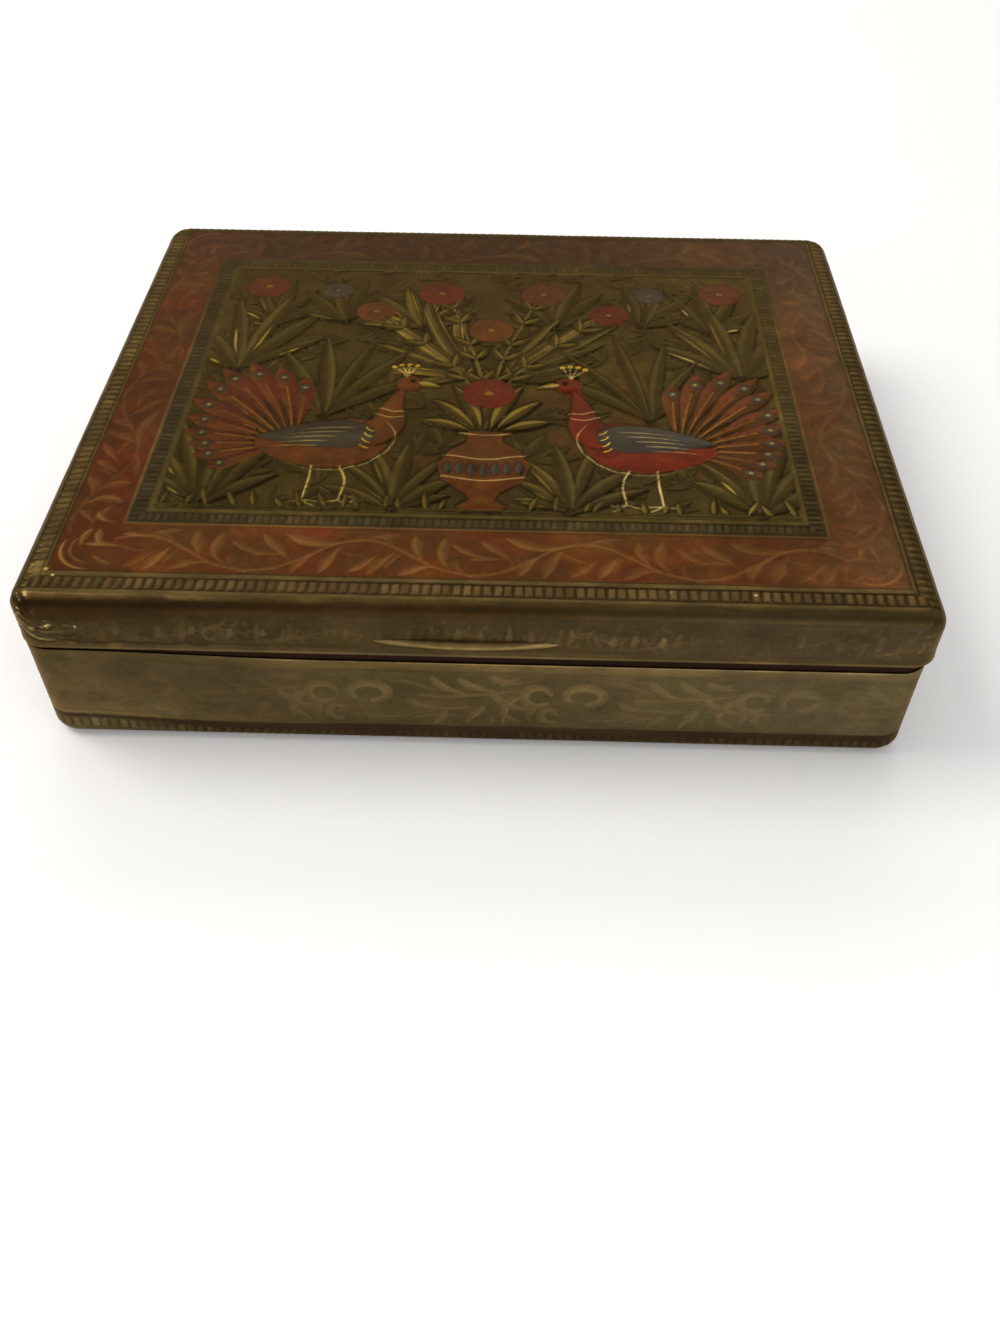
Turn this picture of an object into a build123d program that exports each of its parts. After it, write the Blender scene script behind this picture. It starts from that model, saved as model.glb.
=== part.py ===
"""Hinged trinket box: a low wooden box with a separate lid, both clad in thin brass sheet, lined
with velvet-covered card and joined along the back by a continuous (piano) hinge.

Frame: +Z up, +X to the right and -Y to the front when the thumb lip faces the viewer. The origin is
on the resting plane, under the middle of the lid. All sizes are in millimetres.
"""

import os
from math import sqrt

from build123d import *

# ---------------------------------------------------------------- driving dimensions
LID_W, LID_D = 152.0, 129.0          # outside of the lid's brass, X and Y
BASE_W, BASE_D = 151.2, 128.4        # outside of the base's brass
BASE_X = -0.4                        # the base sits a little to the left, so the lid laps it on the right
HEIGHT = 32.6                        # table to lid top
SHEET = 0.4                          # brass sheet
R_CORNER = 5.0                       # upright corners, outside
R_SHOULDER = 3.4                     # top edge of the lid, outside
R_FOOT = 2.4                         # bottom edge of the base, outside
Z_FOOT = 0.3                         # underside of the brass; the felt stands proud of it
Z_BASE_RIM, Z_LID_RIM = 20.9, 22.95     # brass rims either side of the seam; the dark wood shows between them
Z_BASE_WOOD, Z_LID_WOOD = 22.35, 22.45   # wooden rims, which meet when the lid is shut
WALL = 6.0                           # wooden walls and lid rails
BOTTOM_BOARD, TOP_BOARD = 4.0, 3.0
FLANGE = 8.0                         # brass turned under the base
LINER = 1.2                          # velvet on card
FLOOR_PAD, LID_PAD = 1.8, 1.9

# hinge
AXIS_Y, AXIS_Z = 63.35, 22.4         # hinge axis, just inside the back faces
R_BARREL, R_GROOVE = 1.5, 1.7
R_PIN, R_PIN_BORE = 0.75, 0.80       # the pin is tight in the base's knuckles, free in the lid's
HINGE_L = 142.0
KNUCKLES = 11
KNUCKLE_GAP = 0.2
LEAF_T = 0.7
LEAF_Y0 = 58.3                       # front edge of both leaves
NAIL_X = (-61.0, -36.6, -12.2, 12.2, 36.6, 61.0)

# thumb lip
LIP_X, LIP_W, LIP_OUT = -1.5, 30.0, 1.3
LIP_Z0, LIP_Z1 = 25.3, 26.6

os.makedirs("parts", exist_ok=True)


def block(x0, x1, y0, y1, z0, z1):
    return Pos((x0 + x1) / 2, (y0 + y1) / 2, (z0 + z1) / 2) * Box(x1 - x0, y1 - y0, z1 - z0)


def round_block(w, d, z0, z1, r, cx=0.0):
    return Pos(cx, 0, z0) * extrude(RectangleRounded(w, d, r), z1 - z0)


def rod(x, y, z, r, length, direction):
    """A round rod from (x, y, z) along one axis."""
    turn = {"z": (0, 0, 0), "x": (0, 90, 0), "y": (-90, 0, 0)}[direction]
    return Pos(x, y, z) * Rot(*turn) * Cylinder(r, length, align=(Align.CENTER, Align.CENTER, Align.MIN))


def soft_top(solid, r, side=1):
    """Rounds the edges of the top (side 1) or bottom (side -1) face."""
    edges = solid.edges().group_by(Axis.Z)[-1 if side > 0 else 0]
    return fillet(edges, r)


def save(shape, name):
    shape.label = name
    export_step(shape, f"parts/{name}.step")


groove = rod(-90, AXIS_Y, AXIS_Z, R_GROOVE, 180, "x")

# ---------------------------------------------------------------- base: cores and cladding
b_out = soft_top(round_block(BASE_W, BASE_D, Z_FOOT, Z_BASE_RIM, R_CORNER, BASE_X), R_FOOT, -1)
b_core = soft_top(
    round_block(BASE_W - 2 * SHEET, BASE_D - 2 * SHEET, Z_FOOT + SHEET, Z_BASE_WOOD, R_CORNER - SHEET, BASE_X),
    R_FOOT - SHEET,
    -1,
)
felt_hole = round_block(BASE_W - 2 * FLANGE, BASE_D - 2 * FLANGE, -1, Z_FOOT + SHEET + 0.3, 3.0, BASE_X)
base_cladding = b_out - b_core - felt_hole - groove

z_floor = Z_FOOT + SHEET + BOTTOM_BOARD
bx = BASE_W / 2 - SHEET - WALL       # half width of the wooden inside
by = BASE_D / 2 - SHEET - WALL
wood_low = b_core & block(-90, 90, -80, 80, 0, z_floor)
wood_high = b_core & block(-90, 90, -80, 80, z_floor, 60)
base_bottom_board = wood_low
base_front_wall = wood_high & block(-90, 90, -80, -by, 0, 60)
base_back_wall = (wood_high & block(-90, 90, by, 80, 0, 60)) - groove
base_left_wall = wood_high & block(-90, BASE_X - bx, -by, by, 0, 60)
base_right_wall = wood_high & block(BASE_X + bx, 90, -by, by, 0, 60)

# ---------------------------------------------------------------- lid: cores and cladding
l_out = soft_top(round_block(LID_W, LID_D, Z_LID_RIM, HEIGHT, R_CORNER), R_SHOULDER)
l_core = soft_top(
    round_block(LID_W - 2 * SHEET, LID_D - 2 * SHEET, Z_LID_WOOD, HEIGHT - SHEET, R_CORNER - SHEET),
    R_SHOULDER - SHEET,
)
lid_cladding = l_out - l_core - groove

z_ceiling = HEIGHT - SHEET - TOP_BOARD
lx = LID_W / 2 - SHEET - WALL
ly = LID_D / 2 - SHEET - WALL
lid_top_board = l_core & block(-90, 90, -80, 80, z_ceiling, 60)
rails = l_core & block(-90, 90, -80, 80, 0, z_ceiling)
lid_front_rail = rails & block(-90, 90, -80, -ly, 0, 60)
lid_back_rail = (rails & block(-90, 90, ly, 80, 0, 60)) - groove
lid_left_rail = rails & block(-90, -lx, -ly, ly, 0, 60)
lid_right_rail = rails & block(lx, 90, -ly, ly, 0, 60)

# ---------------------------------------------------------------- continuous hinge
pitch = HINGE_L / KNUCKLES


def leaf(z0, z1, mine, bore):
    """A leaf with the knuckles whose numbers leave `mine` after division by two."""
    body = block(-HINGE_L / 2, HINGE_L / 2, LEAF_Y0, AXIS_Y - R_GROOVE, z0, z1)
    for k in range(KNUCKLES):
        if k % 2 != mine:
            continue
        x0 = -HINGE_L / 2 + k * pitch + KNUCKLE_GAP / 2
        x1 = x0 + pitch - KNUCKLE_GAP
        body += block(x0, x1, AXIS_Y - R_GROOVE, AXIS_Y - R_PIN_BORE - 0.15, z0, z1)
        body += rod(x0, AXIS_Y, AXIS_Z, R_BARREL, x1 - x0, "x")
    return body - rod(-90, AXIS_Y, AXIS_Z, bore, 180, "x")


hinge_base_leaf = leaf(Z_BASE_WOOD - LEAF_T, Z_BASE_WOOD, 0, R_PIN)
hinge_lid_leaf = leaf(Z_LID_WOOD, Z_LID_WOOD + LEAF_T, 1, R_PIN_BORE)
hinge_pin = rod(-HINGE_L / 2 - 0.6, AXIS_Y, AXIS_Z, R_PIN, HINGE_L + 1.2, "x")
hinge_pin += rod(-HINGE_L / 2 - 0.9, AXIS_Y, AXIS_Z, 1.15, 0.5, "x")
hinge_pin += rod(HINGE_L / 2 + 0.4, AXIS_Y, AXIS_Z, 1.15, 0.5, "x")

nail_y = (LEAF_Y0 + AXIS_Y - R_GROOVE) / 2
base_nails = [
    rod(x, nail_y, Z_BASE_WOOD - 0.45, 1.1, 0.45, "z") + rod(x, nail_y, Z_BASE_WOOD - 9.0, 0.55, 8.7, "z")
    for x in NAIL_X
]
lid_nails = [
    rod(x, nail_y, Z_LID_WOOD, 1.1, 0.45, "z") + rod(x, nail_y, Z_LID_WOOD + 0.3, 0.55, 6.0, "z")
    for x in NAIL_X
]

# ---------------------------------------------------------------- hidden steel pins of the woodwork
wall_pins, board_pins, rail_pins, top_pins = [], [], [], []
for sx in (-1, 1):
    px = BASE_X + sx * (bx + WALL / 2)
    for z in (9.0, 17.0):
        wall_pins.append(rod(px, -BASE_D / 2 + SHEET + 0.9, z, 0.6, 15.0, "y"))
        wall_pins.append(rod(px, BASE_D / 2 - SHEET - 15.9, z, 0.6, 15.0, "y"))
    for y in (-34.0, 34.0):
        board_pins.append(rod(px, y, Z_FOOT + SHEET + 0.3, 0.6, 12.0, "z"))
    qx = sx * (lx + WALL / 2)
    rail_pins.append(rod(qx, -LID_D / 2 + SHEET + 0.9, 25.8, 0.5, 14.0, "y"))
    rail_pins.append(rod(qx, LID_D / 2 - SHEET - 14.9, 25.8, 0.5, 14.0, "y"))
    for y in (-34.0, 34.0):
        top_pins.append(rod(qx, y, HEIGHT - SHEET - 0.3 - 7.5, 0.5, 7.5, "z"))
for x in (-50.0, 0.0, 50.0):
    for sy in (-1, 1):
        board_pins.append(rod(x + 6, sy * (by + WALL / 2), Z_FOOT + SHEET + 0.3, 0.6, 11.0, "z"))
        top_pins.append(rod(x + 6, sy * (ly + WALL / 2), HEIGHT - SHEET - 0.3 - 5.5, 0.5, 5.5, "z"))

# nails that hold the brass turned under the base
flange_nails = []
fx, fy = BASE_W / 2 - FLANGE / 2 - 1.0, BASE_D / 2 - FLANGE / 2 - 1.0
spots = [(x, s * fy) for x in (-54.0, -18.0, 18.0, 54.0) for s in (-1, 1)]
spots += [(s * fx, y) for y in (-40.0, 0.0, 40.0) for s in (-1, 1)]
for x, y in spots:
    flange_nails.append(rod(BASE_X + x, y, Z_FOOT - 0.22, 1.0, 0.22, "z") + rod(BASE_X + x, y, Z_FOOT - 0.1, 0.4, 3.6, "z"))


def cut(body, tools):
    for t in tools:
        body = body - t
    return body


base_bottom_board = cut(base_bottom_board, board_pins + flange_nails)
base_front_wall = cut(base_front_wall, wall_pins + board_pins)
base_back_wall = cut(base_back_wall, wall_pins + board_pins + base_nails + [hinge_base_leaf])
base_left_wall = cut(base_left_wall, wall_pins + board_pins)
base_right_wall = cut(base_right_wall, wall_pins + board_pins)
base_cladding = cut(base_cladding, flange_nails)
hinge_base_leaf = cut(hinge_base_leaf, base_nails)
lid_top_board = cut(lid_top_board, top_pins)
lid_front_rail = cut(lid_front_rail, rail_pins + top_pins)
lid_back_rail = cut(lid_back_rail, rail_pins + top_pins + lid_nails + [hinge_lid_leaf])
lid_left_rail = cut(lid_left_rail, rail_pins + top_pins)
lid_right_rail = cut(lid_right_rail, rail_pins + top_pins)
hinge_lid_leaf = cut(hinge_lid_leaf, lid_nails)

# ---------------------------------------------------------------- linings
z_liner = Z_BASE_WOOD - 0.5
base_lining_front = block(BASE_X - bx, BASE_X + bx, -by, -by + LINER, z_floor, z_liner)
base_lining_back = block(BASE_X - bx, BASE_X + bx, by - LINER, by, z_floor, z_liner)
base_lining_left = block(BASE_X - bx, BASE_X - bx + LINER, -by + LINER, by - LINER, z_floor, z_liner)
base_lining_right = block(BASE_X + bx - LINER, BASE_X + bx, -by + LINER, by - LINER, z_floor, z_liner)
pad_w, pad_d = 2 * (bx - LINER) - 0.4, 2 * (by - LINER) - 0.4
base_floor_pad = soft_top(round_block(pad_w, pad_d, z_floor, z_floor + FLOOR_PAD, 1.5, BASE_X), 0.8)
z_lid_liner = Z_LID_WOOD + 1.0
lid_lining_front = block(-lx, lx, -ly, -ly + LINER, z_lid_liner, z_ceiling)
lid_lining_back = block(-lx, lx, ly - LINER, ly, z_lid_liner, z_ceiling)
lid_lining_left = block(-lx, -lx + LINER, -ly + LINER, ly - LINER, z_lid_liner, z_ceiling)
lid_lining_right = block(lx - LINER, lx, -ly + LINER, ly - LINER, z_lid_liner, z_ceiling)
lpw, lpd = 2 * (lx - LINER) - 0.4, 2 * (ly - LINER) - 0.4
lid_pad = soft_top(round_block(lpw, lpd, z_ceiling - LID_PAD, z_ceiling, 1.5), 0.8, -1)

felt_w, felt_d = BASE_W - 2 * FLANGE - 0.6, BASE_D - 2 * FLANGE - 0.6
base_felt = round_block(felt_w, felt_d, 0, Z_FOOT + SHEET, 2.7, BASE_X)

# ---------------------------------------------------------------- thumb lip, soldered to the lid's front
half = LIP_W / 2
R_LIP = (half**2 + LIP_OUT**2) / (2 * LIP_OUT)
front = -LID_D / 2
lip_plan = make_face(
    [
        Line((LIP_X - half, front), (LIP_X + half, front)),
        ThreePointArc((LIP_X + half, front), (LIP_X, front - LIP_OUT), (LIP_X - half, front)),
    ]
)
thumb_lip = Pos(0, 0, LIP_Z0) * extrude(lip_plan, LIP_Z1 - LIP_Z0)
curved = [e for e in thumb_lip.edges() if e.geom_type == GeomType.CIRCLE]
thumb_lip = chamfer(curved, 0.35)

# ---------------------------------------------------------------- write
for name, shape in {
    "base_cladding": base_cladding,
    "base_bottom_board": base_bottom_board,
    "base_front_wall": base_front_wall,
    "base_back_wall": base_back_wall,
    "base_left_wall": base_left_wall,
    "base_right_wall": base_right_wall,
    "base_felt": base_felt,
    "base_floor_pad": base_floor_pad,
    "base_lining_front": base_lining_front,
    "base_lining_back": base_lining_back,
    "base_lining_left": base_lining_left,
    "base_lining_right": base_lining_right,
    "hinge_base_leaf": hinge_base_leaf,
    "hinge_lid_leaf": hinge_lid_leaf,
    "hinge_pin": hinge_pin,
    "hinge_base_nails": Compound(base_nails),
    "hinge_lid_nails": Compound(lid_nails),
    "base_wall_pins": Compound(wall_pins),
    "base_board_pins": Compound(board_pins),
    "base_flange_nails": Compound(flange_nails),
    "lid_cladding": lid_cladding,
    "lid_top_board": lid_top_board,
    "lid_front_rail": lid_front_rail,
    "lid_back_rail": lid_back_rail,
    "lid_left_rail": lid_left_rail,
    "lid_right_rail": lid_right_rail,
    "lid_lining_front": lid_lining_front,
    "lid_lining_back": lid_lining_back,
    "lid_lining_left": lid_lining_left,
    "lid_lining_right": lid_lining_right,
    "lid_pad": lid_pad,
    "lid_rail_pins": Compound(rail_pins),
    "lid_board_pins": Compound(top_pins),
    "thumb_lip": thumb_lip,
}.items():
    save(shape, name)
print("stop corner z", AXIS_Z - sqrt(R_GROOVE**2 - (BASE_D / 2 - AXIS_Y) ** 2))
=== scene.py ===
"""Looks of the brass-clad trinket box: engraved and painted brass skins, linings, wood, hinge, floor, lights and camera.

Sizes in the drawing code are millimetres; meshes are made in metres.
"""

from math import atan, cos, hypot, log, pi, radians, sin

import bpy
import numpy as np
from mathutils import Matrix, Vector


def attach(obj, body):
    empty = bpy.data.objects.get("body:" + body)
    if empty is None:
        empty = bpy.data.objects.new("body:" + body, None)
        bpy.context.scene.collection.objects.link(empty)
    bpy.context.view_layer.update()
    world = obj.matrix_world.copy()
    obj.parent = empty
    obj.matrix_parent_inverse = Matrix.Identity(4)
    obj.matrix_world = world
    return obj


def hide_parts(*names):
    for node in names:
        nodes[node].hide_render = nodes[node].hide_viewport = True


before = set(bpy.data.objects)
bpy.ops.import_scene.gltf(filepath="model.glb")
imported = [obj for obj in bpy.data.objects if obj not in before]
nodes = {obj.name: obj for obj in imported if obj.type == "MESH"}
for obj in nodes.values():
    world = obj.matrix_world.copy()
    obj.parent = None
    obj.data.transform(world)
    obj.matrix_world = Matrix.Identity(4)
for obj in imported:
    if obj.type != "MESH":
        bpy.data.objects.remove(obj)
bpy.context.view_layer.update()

PX = 8.0  # samples per millimetre in the drawn sheets


# ------------------------------------------------------------------ small maths
def smooth(a, b, x):
    t = np.clip((x - a) / (b - a), 0.0, 1.0)
    return t * t * (3.0 - 2.0 * t)


def mix(a, b, t):
    return a + (b - a) * t


def hashed(ix, iy, iz, seed):
    h = ix.astype(np.int64).astype(np.uint32) * np.uint32(374761393)
    h = h + iy.astype(np.int64).astype(np.uint32) * np.uint32(668265263)
    h = h + iz.astype(np.int64).astype(np.uint32) * np.uint32(2246822519)
    h = h + np.uint32((seed * 3266489917 + 97) & 0xFFFFFFFF)
    h = (h ^ (h >> np.uint32(15))) * np.uint32(2246822519)
    h = (h ^ (h >> np.uint32(13))) * np.uint32(3266489917)
    h = h ^ (h >> np.uint32(16))
    return h.astype(np.float32) / np.float32(4294967295.0)


def noise(x, y, z=0.0, seed=0):
    """Smooth lattice noise from -1 to 1."""
    x, y, z = np.broadcast_arrays(np.asarray(x, np.float32), np.asarray(y, np.float32), np.asarray(z, np.float32))
    ix, iy, iz = np.floor(x), np.floor(y), np.floor(z)
    fx, fy, fz = x - ix, y - iy, z - iz
    fx, fy, fz = (f * f * f * (f * (f * 6 - 15) + 10) for f in (fx, fy, fz))
    out = 0.0
    for dz, wz in ((0, 1 - fz), (1, fz)):
        if dz and not np.any(fz):
            continue
        for dy, wy in ((0, 1 - fy), (1, fy)):
            for dx, wx in ((0, 1 - fx), (1, fx)):
                out = out + wx * wy * wz * hashed(ix + dx, iy + dy, iz + dz, seed)
    return out * 2.0 - 1.0


def layered(x, y, z=0.0, seed=0, octaves=4, gain=0.5):
    out, amp, total, f = 0.0, 1.0, 0.0, 1.0
    for k in range(octaves):
        out = out + amp * noise(x * f, y * f, z * f, seed + 31 * k)
        total += amp
        amp *= gain
        f *= 2.03
    return out / total


def tone(r, g, b):
    return np.array([r, g, b], np.float32)


# ------------------------------------------------------------------ lines
def bend(x, y, heading, length, turn, n=9):
    """A line that leaves (x, y) at `heading` degrees and turns evenly by `turn` degrees over its length."""
    pts = [(x, y)]
    for k in range(n):
        a = radians(heading + turn * (k + 0.5) / n)
        x, y = x + length / n * cos(a), y + length / n * sin(a)
        pts.append((x, y))
    return pts


def through(points, n=6, closed=False):
    """A smooth line through the points."""
    p = [np.array(q, float) for q in points]
    if closed:
        p = [p[-1]] + p + [p[0], p[1]]
    else:
        p = [2 * p[0] - p[1]] + p + [2 * p[-1] - p[-2]]
    out = []
    for a, b, c, d in zip(p, p[1:], p[2:], p[3:]):
        for k in range(n):
            t = k / n
            out.append(0.5 * (2 * b + (c - a) * t + (2 * a - 5 * b + 4 * c - d) * t**2 + (3 * b - a - 3 * c + d) * t**3))
    out.append(p[-2])
    return [tuple(q) for q in out]


def near(X, Y, pts):
    """Distance to a line of points, the share of its length passed there, and the side (+1 left, -1 right)."""
    p = np.asarray(pts, np.float32)
    step = p[1:] - p[:-1]
    long = np.maximum(np.hypot(step[:, 0], step[:, 1]), 1e-6)
    start = np.concatenate([[0], np.cumsum(long)])
    best = np.full(X.shape, 1e9, np.float32)
    t = np.zeros(X.shape, np.float32)
    side = np.ones(X.shape, np.float32)
    for a, s, l, l0 in zip(p[:-1], step, long, start):
        ux, uy = s / l
        px, py = X - a[0], Y - a[1]
        u = np.clip(px * ux + py * uy, 0, l)
        d = (px - u * ux) ** 2 + (py - u * uy) ** 2
        m = d < best
        best[m] = d[m]
        t[m] = ((l0 + u) / start[-1])[m]
        side[m] = np.sign(ux * py - uy * px)[m]
    return np.sqrt(best), t, side


# ------------------------------------------------------------------ a drawn sheet
class Sheet:
    """A stretch of the brass, drawn flat: height in mm, colour (with painted light, shade and reflections), paint
    cover, bright cuts with painted glints, and dirt.
    """

    def __init__(self, x0, x1, y0, y1):
        self.x0, self.y0, self.stack = x0, y0, None
        self.nx, self.ny = int(round((x1 - x0) * PX)), int(round((y1 - y0) * PX))
        self.h, self.paint, self.shine, self.dirt = (np.zeros((self.ny, self.nx), np.float32) for _ in range(4))
        self.rgb = np.zeros((self.ny, self.nx, 3), np.float32)
        self.X, self.Y = np.meshgrid(
            (x0 + (np.arange(self.nx) + 0.5) / PX).astype(np.float32),
            (y0 + (np.arange(self.ny) + 0.5) / PX).astype(np.float32),
        )

    def window(self, pts, pad):
        p = np.asarray(pts)
        i0, j0 = (np.floor((p.min(0) - pad - (self.x0, self.y0)) * PX)).astype(int)
        i1, j1 = (np.ceil((p.max(0) + pad - (self.x0, self.y0)) * PX)).astype(int)
        i0, j0 = max(i0, 0), max(j0, 0)
        i1, j1 = max(min(i1, self.nx), i0), max(min(j1, self.ny), j0)
        w = (slice(j0, j1), slice(i0, i1))
        return w, self.X[w], self.Y[w]

    def lay(self, w, m, h=None, rgb=None, paint=None, shine=None, dirt=None):
        """Lays a shape over the sheet where m is 1."""
        for name, v in (("h", h), ("paint", paint), ("shine", shine), ("dirt", dirt)):
            if v is not None:
                a = getattr(self, name)
                a[w] = mix(a[w], v, m)
        if rgb is not None:
            self.rgb[w] = mix(self.rgb[w], rgb, m[..., None])

    def sample(self, x, y, wrap=False):
        """Height, colour and the three marks at points, by bilinear reading."""
        fx = (np.asarray(x) - self.x0) * PX - 0.5
        fy = np.clip((np.asarray(y) - self.y0) * PX - 0.5, 0, self.ny - 1.001)
        if wrap:
            fx = np.mod(fx, self.nx)
        else:
            fx = np.clip(fx, 0, self.nx - 1.001)
        i, j = np.floor(fx).astype(int), np.floor(fy).astype(int)
        a, b = (fx - i).astype(np.float32), (fy - j).astype(np.float32)
        i2 = (i + 1) % self.nx if wrap else np.minimum(i + 1, self.nx - 1)
        i = i % self.nx
        if self.stack is None:
            self.stack = np.concatenate([self.h[..., None], self.rgb, self.paint[..., None], self.shine[..., None], self.dirt[..., None]], 2)
        c, a, b = self.stack, a[..., None], b[..., None]
        return c[j, i] * (1 - a) * (1 - b) + c[j, i2] * a * (1 - b) + c[j + 1, i] * (1 - a) * b + c[j + 1, i2] * a * b


def leaf(S, pts, width, rise=0.2, light=None, shade=None, paint=0.0, peak=0.45, rib=1.0, edge=1.0, shine=0.0, lit=1.0, soft=0.12, cover=1.0):
    """A pointed leaf along a line. One half is painted lighter than the other, as painted light and shade, and its
    shine lies on the lighter half as a painted highlight.
    """
    w, X, Y = S.window(pts, width)
    if X.size == 0:
        return
    d, t, side = near(X, Y, pts)
    wide = width / 2 * np.clip(np.sin(pi * np.clip(t, 0, 1) ** (log(0.5) / log(peak))), 0, 1) ** 0.85
    m = smooth(-soft, soft, wide - d - 0.02) * cover
    u = np.clip(d / np.maximum(wide, 1e-3), 0, 1)
    dome = np.sqrt(np.maximum(0, 1 - u * u))
    ring = smooth(0.34, 0.10, np.abs(d - wide - 0.16)) * (wide > 0.05) * edge
    S.h[w] -= 0.11 * ring * np.minimum(1, rise / 0.12 + 0.4)
    S.dirt[w] = np.maximum(S.dirt[w], 0.75 * ring)
    groove = smooth(0.22, 0.04, d) * smooth(0.96, 0.8, t) * rib
    h = rise * (0.35 + 0.65 * dome) - 0.05 * groove
    k = np.clip(0.5 + 0.5 * side * lit * np.minimum(1, 0.35 + u) - 0.25 * u * u, 0, 1)
    S.lay(w, m, h, shade + (light - shade) * k[..., None], paint, shine * k * dome, 0.55 * groove)


def line(S, pts, w0, w1=None, depth=0.06, rgb=None, paint=None, shine=None, dirt=None, peak=None, cover=1.0):
    """An engraved line (depth above 0) or a raised one (below 0), tapering from w0 to w1."""
    w1 = w0 if w1 is None else w1
    w, X, Y = S.window(pts, max(w0, w1) + 0.5)
    if X.size == 0:
        return
    d, t, _ = near(X, Y, pts)
    wide = (w0 + (w1 - w0) * t) / 2
    if peak:
        wide = wide * np.sin(pi * np.clip(t, 0.02, 0.98) ** (log(0.5) / log(peak))) ** 0.7
    m = smooth(-0.11, 0.11, wide - d) * cover
    S.h[w] -= depth * m
    S.lay(w, m, None, rgb, paint, shine, dirt)


def blob(S, pts, rise=0.15, rgb=None, paint=0.9, edge=1.0, round_over=1.6, shine=0.0, mottle=0.1, seed=1):
    """A closed shape, crowned towards its middle."""
    w, X, Y = S.window(pts, 0.8)
    if X.size == 0:
        return
    p = list(pts)
    if p[0] != p[-1]:
        p.append(p[0])
    d, _, _ = near(X, Y, p)
    inside = np.zeros(X.shape, bool)
    for (ax, ay), (bx, by) in zip(p, p[1:]):
        if ay == by:
            continue
        c = (ay > Y) != (by > Y)
        inside ^= c & (X < (bx - ax) * (Y - ay) / (by - ay) + ax)
    sd = np.where(inside, d, -d)
    m = smooth(-0.12, 0.12, sd)
    ring = smooth(0.36, 0.10, np.abs(sd + 0.16)) * edge
    S.h[w] -= 0.11 * ring
    S.dirt[w] = np.maximum(S.dirt[w], 0.75 * ring)
    h = rise * smooth(0, round_over, sd) ** 0.7
    v = 1 + mottle * layered(X * 0.5, Y * 0.5, 0, seed, 3)
    S.lay(w, m, h, rgb * v[..., None], paint, shine, 0.0)


def ring(x, y, r, n=26, squash=1.0):
    return [(x + r * cos(2 * pi * k / n), y + squash * r * sin(2 * pi * k / n)) for k in range(n)]
# ------------------------------------------------------------------ colours
BRASS = tone(0.362, 0.302, 0.186)
BRASS_HI = tone(0.405, 0.338, 0.21)
BRASS_DK = tone(0.20, 0.15, 0.075)
PIT = tone(0.15, 0.11, 0.055)
RED = tone(0.44, 0.19, 0.085)
RUST = tone(0.375, 0.245, 0.115)
GOLD_LEAF = tone(0.455, 0.325, 0.165)
OLIVE = tone(0.282, 0.243, 0.108)
OLIVE_DK = tone(0.205, 0.17, 0.08)
LEAF_HI = tone(0.325, 0.29, 0.16)
GOLD = tone(0.72, 0.61, 0.20)
SILVER = tone(0.62, 0.56, 0.40)
ORANGE = tone(0.43, 0.215, 0.065)
BLOOD = tone(0.415, 0.105, 0.05)
SLATE = tone(0.235, 0.225, 0.225)
MOSS = tone(0.268, 0.232, 0.152)

TOP_TONE = tone(0.772, 0.748, 0.675)
LEAF_TAN = tone(0.50, 0.352, 0.205)

# the lid's bands, in mm on the flat top
OUT = (-73.9, 74.2, -60.4, 63.6)      # outer edge of the bead row
ENAMEL = (-70.6, 70.6, -56.3, 60.4)   # painted border
FRAME = (-60.9, 59.6, -44.3, 47.8)    # frame round the panel
PANEL = (-56.4, 55.4, -39.8, 43.4)


def box_of(S, r, soft=0.12):
    x0, x1, y0, y1 = r
    return (
        smooth(-soft, soft, S.X - x0) * smooth(-soft, soft, x1 - S.X) * smooth(-soft, soft, S.Y - y0) * smooth(-soft, soft, y1 - S.Y)
    )


def bead_row(S, u, v, long, tall, pitch, mask, seed, rise=0.10, light=BRASS_HI, gap=PIT, flush=0.0, contrast=1.0, fade=1.0):
    """A row of punched beads. u runs along the row and v across it from 0 to tall."""
    n = max(1, round(long / pitch))
    pitch = long / n
    k = np.floor(u / pitch)
    r1, r2, r3 = (hashed(k, k * 0, k * 0, seed + q) for q in (1, 2, 3))
    c = (k + 0.5 + 0.10 * (r1 - 0.5)) * pitch + (v - tall / 2) * 0.10 * (r3 - 0.4)
    half = pitch * (0.31 + 0.06 * r2)
    a = smooth(half + 0.16, half - 0.16, np.abs(u - c))
    b = smooth(0.0, 0.30, v) * smooth(0.0, 0.30, tall - v)
    bead = a * b
    dome = np.sqrt(np.clip(1 - ((u - c) / (half + 0.1)) ** 2, 0, 1))
    S.h = mix(S.h, (rise * bead * (0.55 + 0.45 * dome) - 0.05 * (1 - bead)) * (0.35 + 0.65 * fade), mask)
    shade = light * (0.84 + 0.26 * r1)[..., None]
    shade = mix(shade, tone(0.36, 0.225, 0.13), (0.55 * flush * smooth(0.45, 0.95, r2) * smooth(-0.5, 0.3, layered(u / 9, 0 * u, 0, seed + 8, 2)))[..., None])
    worn_ = (0.45 + 0.55 * smooth(-0.5, 0.3, layered(u / 11, v / 11, 0, seed + 9, 2))) * fade
    colour = mix(mix(gap, light * 0.8, 1 - contrast * worn_[..., None]), shade, bead[..., None])
    S.rgb = mix(S.rgb, colour, mask[..., None])
    S.dirt = mix(S.dirt, (1 - bead) * 0.35 * contrast * fade, mask)
    S.paint = mix(S.paint, 0.0, mask)


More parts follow.
